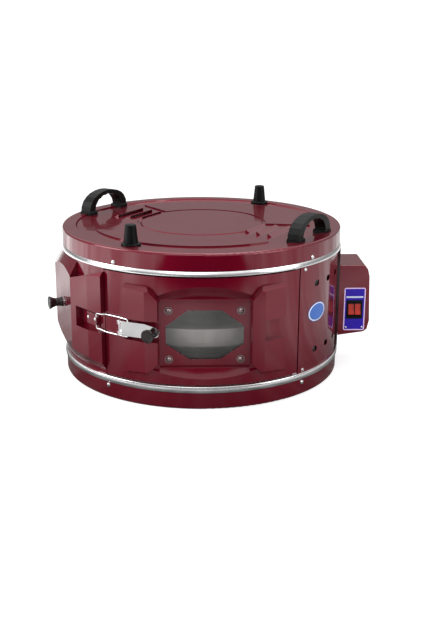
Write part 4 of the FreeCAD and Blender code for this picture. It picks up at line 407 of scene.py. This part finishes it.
def make_materials():
    """All materials but the badge's, by the slot or the finish that they are for."""
    maroon = enamel("maroon_enamel", srgb(116, 10, 35), srgb(108, 9, 32))
    return {
        "maroon_enamel": maroon,
        "maroon_frame": maroon,
        # painted shade: a darker copy of the maroon enamel for the box's back plate, standing in
        # for the shadow in the gap between the box and the drum
        "shaded_enamel": enamel("shaded_enamel", srgb(46, 6, 15), srgb(38, 5, 12), flake=0.2),
        "bright_steel": plated("bright_plating", (0.89, 0.88, 0.89, 1.0)),
        "polished_hoop": plated("polished_hoop", (0.95, 0.94, 0.95, 1.0), rough=0.16,
                                scratch=0.02, stretch=(0.2, 0.2, 3.0)),
        "plated_bracket": plated("zinc_bracket", (0.62, 0.63, 0.65, 1.0), rough=0.3,
                                 scratch=0.12),
        "dark_bolt": plated("dark_bolt", (0.36, 0.27, 0.27, 1.0), rough=0.3, scratch=0.1),
        "reflector_aluminium": spun("spun_aluminium", (0.88, 0.87, 0.88, 1.0)),
        "tray_metal": tinned("tray_metal", srgb(240, 235, 235), srgb(216, 209, 209), metallic=0.3),
        # painted highlight: a lighter, less metallic copy of the tray's metal, so that the rim's
        # bead shows as a bright line
        "tray_rim": tinned("tray_rim", srgb(253, 250, 250), srgb(240, 235, 235), metallic=0.1),
        "black_plastic": moulded("black_moulding", srgb(2, 4, 3), rough=0.34, shine=0.18),
        "brown_bakelite": moulded("brown_bakelite", srgb(30, 19, 21), rough=0.2, grain=0.05,
                                  shine=0.45),
        "rocker_orange": moulded("rocker_orange", srgb(178, 40, 22), rough=0.2, grain=0.03),
        "seal_rubber": moulded("seal_rubber", srgb(26, 26, 26), rough=0.6, grain=0.25),
        "window_glass": pane(),
        "label_blue": label_print(),
        "heater_sheath": sheath(),
        "ceramic_white": ceramic(),
    }


OWN_FINISH = {
    "upper_hoop": "polished_hoop", "lower_hoop": "polished_hoop",
    "tray": "tray_metal",
    "window_bolts": "dark_bolt", "side_knob_washer": "dark_bolt",
    "side_knob": "brown_bakelite", "latch_knob": "brown_bakelite",
    # the back plate takes the darker enamel as painted shade for the gap behind the box
    "box_back_plate": "shaded_enamel",
}


def dress_nodes(materials):
    """Give every CAD node its slot's material, apart from the few with a finish of their own."""
    for name, node in NODES.items():
        node.data.materials.clear()
        node.data.materials.append(materials[OWN_FINISH.get(name, SLOTS[name])])


# ------------------------------------------------------------------ pieces shaped here

HOOP_DEPTH = 3.2 * MM            # from a hoop's outside in to the end of its flange
HOOP_FLANGE = 1.0 * MM           # the flange's thickness
HOOP_STEPS, HOOP_TURNS = 14, 240
DRUM_INSET = 3.4 * MM            # from the upper hoop's outside in to the drum's
DRUM_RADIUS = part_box("upper_hoop")[1].x - DRUM_INSET
TRAY_BEAD = 1.4 * MM             # half the bead's thickness
BEAD_SIDES, BEAD_TURNS = 12, 180
LABEL_SCREW_RADIUS = 1.7 * MM
LABEL_SCREW_DOME = LABEL_SCREW_RADIUS * 0.5
LABEL_SCREW_ACROSS = 4.2 * MM    # from the label's left and right edges
LABEL_SCREW_UP = 5.0 * MM        # from its lower edge
LABEL_SCREW_RINGS, LABEL_SCREW_TURNS = 5, 20


def angles(turns):
    """The angles of a full turn in even steps."""
    return [FULL_TURN * k / turns for k in range(turns)]


def revolved(profile, turns):
    """Points and faces of a closed profile of (radius, height) turned about Z."""
    points, faces = [], []
    count = len(profile)
    for k, angle in enumerate(angles(turns)):
        points += [(r * math.cos(angle), r * math.sin(angle), z) for r, z in profile]
        here, there = k * count, (k + 1) % turns * count
        for i in range(count):
            after = (i + 1) % count
            faces.append((here + i, there + i, there + after, here + after))
    return points, faces


def disc_faces(first, rings, turns):
    """Faces of a disc whose points are its centre, with the first number, and then its rings."""
    faces = []
    for k in range(turns):
        after = (k + 1) % turns
        faces.append((first, first + 1 + k, first + 1 + after))
        for inner in range(first + 1, first + 1 + (rings - 1) * turns, turns):
            outer = inner + turns
            faces.append((inner + k, outer + k, outer + after, inner + after))
    return faces


def mesh_piece(name, points, faces, body, material):
    """A new smooth piece from points and faces, riding on a CAD body."""
    data = bpy.data.meshes.new(name)
    data.from_pydata(points, [], faces)
    data.update()
    for face in data.polygons:
        face.use_smooth = True
    piece = bpy.data.objects.new(name, data)
    bpy.context.scene.collection.objects.link(piece)
    data.materials.append(material)
    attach(piece, body)
    return piece


def crowned_hoop(node, material, crest, fall, foot_depth):
    """A rolled hoop with its crowned face. The face is widest at the crest, a share of the
    hoop's height, and falls back to both edges. A flange at the top reaches in furthest, and
    the rest is foot_depth deep."""
    low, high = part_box(node)
    profile = []
    for i in range(HOOP_STEPS + 1):
        share = i / HOOP_STEPS
        reach = (share - crest) / (1.0 - crest) if share > crest else (crest - share) / crest
        profile.append((high.x - fall * reach ** 2, low.z + (high.z - low.z) * share))
    profile += [(high.x - HOOP_DEPTH, high.z), (high.x - HOOP_DEPTH, high.z - HOOP_FLANGE),
                (high.x - foot_depth, high.z - HOOP_FLANGE), (high.x - foot_depth, low.z)]
    points, faces = revolved(profile, HOOP_TURNS)
    piece = mesh_piece(node + "_crowned", points, faces, body_of(NODES[node])[0], material)
    for face in piece.data.polygons:
        face.use_smooth = face.index % len(profile) < HOOP_STEPS
    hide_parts(node)


def oval_badge():
    """A plain oval badge on the wrapped drum, between the two rows of vents."""
    def on_drum(across, up, lift):
        azimuth = BADGE_AZIMUTH + across / DRUM_RADIUS
        radius = DRUM_RADIUS + lift
        return (radius * math.sin(azimuth), -radius * math.cos(azimuth), BADGE_HEIGHT + up)

    points = []
    for lift in (BADGE_THICK, 0.0):
        points.append(on_drum(0.0, 0.0, lift))
        for ring in range(1, BADGE_RINGS + 1):
            share = ring / BADGE_RINGS
            points += [on_drum(BADGE_HALF_WIDE * share * math.cos(angle),
                               BADGE_HALF_TALL * share * math.sin(angle), lift)
                       for angle in angles(BADGE_TURNS)]
    back = len(points) // 2
    rim = 1 + (BADGE_RINGS - 1) * BADGE_TURNS
    faces = disc_faces(0, BADGE_RINGS, BADGE_TURNS)
    faces += [face[:1] + face[:0:-1] for face in disc_faces(back, BADGE_RINGS, BADGE_TURNS)]
    for k in range(BADGE_TURNS):
        here, there = rim + k, rim + (k + 1) % BADGE_TURNS
        faces.append((here, back + here, back + there, there))
    printed = badge_print(on_drum(0.0, 0.0, 0.0))
    badge = mesh_piece("oval_badge", points, faces, body_of(NODES["drum_shell"])[0], printed)


def label_screws(material):
    """Two small domed screws in the label's lower corners, as one piece."""
    low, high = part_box("label_plate")
    z = low.z + LABEL_SCREW_UP
    points, faces = [], []
    for x in (low.x + LABEL_SCREW_ACROSS, high.x - LABEL_SCREW_ACROSS):
        first = len(points)
        points.append((x, low.y - LABEL_SCREW_DOME, z))
        for ring in range(1, LABEL_SCREW_RINGS + 1):
            tilt = FULL_TURN / 4 * ring / LABEL_SCREW_RINGS
            y = low.y - LABEL_SCREW_DOME * math.cos(tilt)
            reach = LABEL_SCREW_RADIUS * math.sin(tilt)
            points += [(x + reach * math.cos(angle), y, z + reach * math.sin(angle))
                       for angle in angles(LABEL_SCREW_TURNS)]
        faces += disc_faces(first, LABEL_SCREW_RINGS, LABEL_SCREW_TURNS)
        faces.append(tuple(range(len(points) - 1, len(points) - 1 - LABEL_SCREW_TURNS, -1)))
    screws = mesh_piece("label_screws", points, faces, body_of(NODES["label_plate"])[0],
                        material)


def tray_bead(material):
    """The wired bead that stiffens the tray's rim; its lighter material paints a highlight along
    the rim.
    """
    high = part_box("tray")[1]
    profile = [(high.x - TRAY_BEAD + TRAY_BEAD * math.cos(tilt),
                high.z - TRAY_BEAD + TRAY_BEAD * math.sin(tilt)) for tilt in angles(BEAD_SIDES)]
    points, faces = revolved(profile, BEAD_TURNS)
    bead = mesh_piece("tray_rim_bead", points, faces, body_of(NODES["tray"])[0], material)


# ------------------------------------------------------------------ stage and light

TABLE_SIZE = 60.0
TABLE_MATT = (0.8, 0.8, 0.8, 1.0)                # for the light that it throws back
TABLE_SHADED = (0.6, 0.6, 0.6, 1.0)              # to the camera: what takes the oven's shadow
TABLE_GLOW = 0.67                                # and what is added to make it white

# Painted reflection, how the table looks in the enamel by place, with painted shade by the oven
# and past the front and a painted sheen at the left: a range in metres and the values at its ends.
BY_THE_OVEN = ((0.23, 0.62), (0.16, 0.92))       # brightness by the distance from the axis
AT_THE_LEFT = ((-0.85, -0.55), (0.9, 0.0))       # more brightness by x
FAR_AWAY = ((1.4, 4.0), (1.0, 0.4))              # a factor by the distance from the axis
PAST_THE_FRONT = ((-0.92, -0.68), (1.0, 0.0))    # darkness by y,
NEAR_THE_MIDDLE = ((0.52, 0.66), (1.0, 0.0))     # times darkness by the distance from x = 0
STRIPES = ((0.34, 0.66), (0.58, 1.32))           # a factor, by a range of the noise's values
STRIPE_NOISE = (4.6, 3.0, 0.6)                   # that noise's scale, detail and roughness

WORLD_LIGHT = 0.55
WORLD_WHITE = 1.0
SKY = ((0.16, 0.6), (0.25, 1.0))                 # painted reflection: brightness by the height of the ray's aim

LAMP_AIM = Vector((0, 0, 0.12))
LAMPS = {    # place, then width and height, all in metres, then power in watts
    "key_left": ((-1.9, -0.4, 1.0), (1.0, 1.4), 23.0),
    "front": ((-0.5, -2.1, 1.7), (1.4, 1.0), 11.0),
    "fill_right": ((1.7, -0.9, 1.0), (1.0, 1.4), 12.0),
    "top": ((0.1, 0.5, 2.2), (1.8, 1.2), 18.0),
}


class LightGraph(Graph):
    """The emptied tree of the table's material or the world, whose look depends on the ray."""

    def __init__(self, tree):
        super().__init__(tree)
        tree.nodes.clear()

    def shader(self, kind, **inputs):
        made = self.node(kind)
        for key, value in inputs.items():
            self.wire(value, made.inputs[key])
        return made.outputs[0]

    def white(self, strength, kind="ShaderNodeEmission"):
        return self.shader(kind, Color=(1, 1, 1, 1), Strength=strength)

    def total(self, first, second):
        made = self.node("ShaderNodeAddShader")
        self.wire(first, made.inputs[0])
        self.wire(second, made.inputs[1])
        return made.outputs[0]

    def blend(self, factor, first, second):
        made = self.node("ShaderNodeMixShader")
        for target, source in zip(made.inputs, (factor, first, second)):
            self.wire(source, target)
        return made.outputs[0]

    def by_ray(self, camera, bounced, others, output):
        """One look for the camera's own rays, one for those that were reflected or went through
        glass, and one for all others."""
        path = self.node("ShaderNodeLightPath").outputs
        mirrored = self.math("MAXIMUM", path["Is Glossy Ray"], path["Is Transmission Ray"])
        plain = self.blend(path["Is Camera Ray"], others, camera)
        self.wire(self.blend(mirrored, plain, bounced), self.node(output).inputs["Surface"])


def stripes(g, x, y):
    """Painted reflection: soft light and dark stripes that fan out from the oven, as things round
    the table leave.
    """
    around = g.joined(g.math("ARCTAN2", y, x))
    return g.ease(g.noise(around, *STRIPE_NOISE), *STRIPES)


def painted_table_reflection(g, spot):
    """Painted reflection: how bright the table looks in the enamel, with painted shade by the
    oven, brighter to its sides and a painted sheen most at the left, and painted shade past the
    middle of the table's front edge."""
    x, y, _ = g.parts(spot)
    away = g.length(spot)
    near = g.ease(away, *BY_THE_OVEN)
    left = g.ease(x, *AT_THE_LEFT)
    lit = g.math("MULTIPLY", g.math("ADD", near, left), stripes(g, x, y))
    lit = g.math("MULTIPLY", lit, g.ease(away, *FAR_AWAY))
    middle = g.ease(g.math("ABSOLUTE", x), *NEAR_THE_MIDDLE)
    dark = g.math("MULTIPLY", g.ease(y, *PAST_THE_FRONT), middle)
    return g.math("MULTIPLY", lit, g.math("SUBTRACT", 1.0, dark))


def make_stage():
    """A white table that keeps the oven's shadow."""
    bpy.ops.mesh.primitive_plane_add(size=TABLE_SIZE, location=(0, 0, 0))
    floor = bpy.context.object
    floor.name = "floor"
    material = bpy.data.materials.new("white_table")
    material.use_nodes = True
    g = LightGraph(material.node_tree)
    spot = g.node("ShaderNodeTexCoord").outputs["Object"]
    shaded = g.shader("ShaderNodeBsdfDiffuse", Color=TABLE_SHADED)
    g.by_ray(camera=g.total(shaded, g.white(TABLE_GLOW)),
             bounced=g.white(painted_table_reflection(g, spot)),
             others=g.shader("ShaderNodeBsdfDiffuse", Color=TABLE_MATT),
             output="ShaderNodeOutputMaterial")
    floor.data.materials.append(material)


def make_world():
    """White to the camera, even as light, and a painted reflection in the enamel that is greyer
    near the horizon.
    """
    world = bpy.data.worlds.new("studio")
    bpy.context.scene.world = world
    world.use_nodes = True
    g = LightGraph(world.node_tree)
    height = g.parts(g.node("ShaderNodeTexCoord").outputs["Generated"])[2]
    g.by_ray(camera=g.white(WORLD_WHITE, "ShaderNodeBackground"),
             bounced=g.white(g.ease(height, *SKY), "ShaderNodeBackground"),
             others=g.white(WORLD_LIGHT, "ShaderNodeBackground"),
             output="ShaderNodeOutputWorld")


def make_lights():
    for name, (spot, size, power) in LAMPS.items():
        data = bpy.data.lights.new(name, "AREA")
        data.shape = "RECTANGLE"
        data.size, data.size_y = size
        data.energy = power
        lamp = bpy.data.objects.new(name, data)
        lamp.matrix_world = facing(Vector(spot), LAMP_AIM)
        bpy.context.scene.collection.objects.link(lamp)


# ------------------------------------------------------------------ build


make_camera()
MATERIALS = make_materials()
dress_nodes(MATERIALS)
crowned_hoop("upper_hoop", MATERIALS["polished_hoop"], crest=0.06, fall=2.3 * MM,
             foot_depth=2.8 * MM)
crowned_hoop("lower_hoop", MATERIALS["polished_hoop"], crest=0.4, fall=1.2 * MM,
             foot_depth=1.8 * MM)
oval_badge()
label_screws(MATERIALS["bright_steel"])
tray_bead(MATERIALS["tray_rim"])
make_stage()
make_world()
make_lights()
bpy.context.scene.view_settings.view_transform = "Standard"
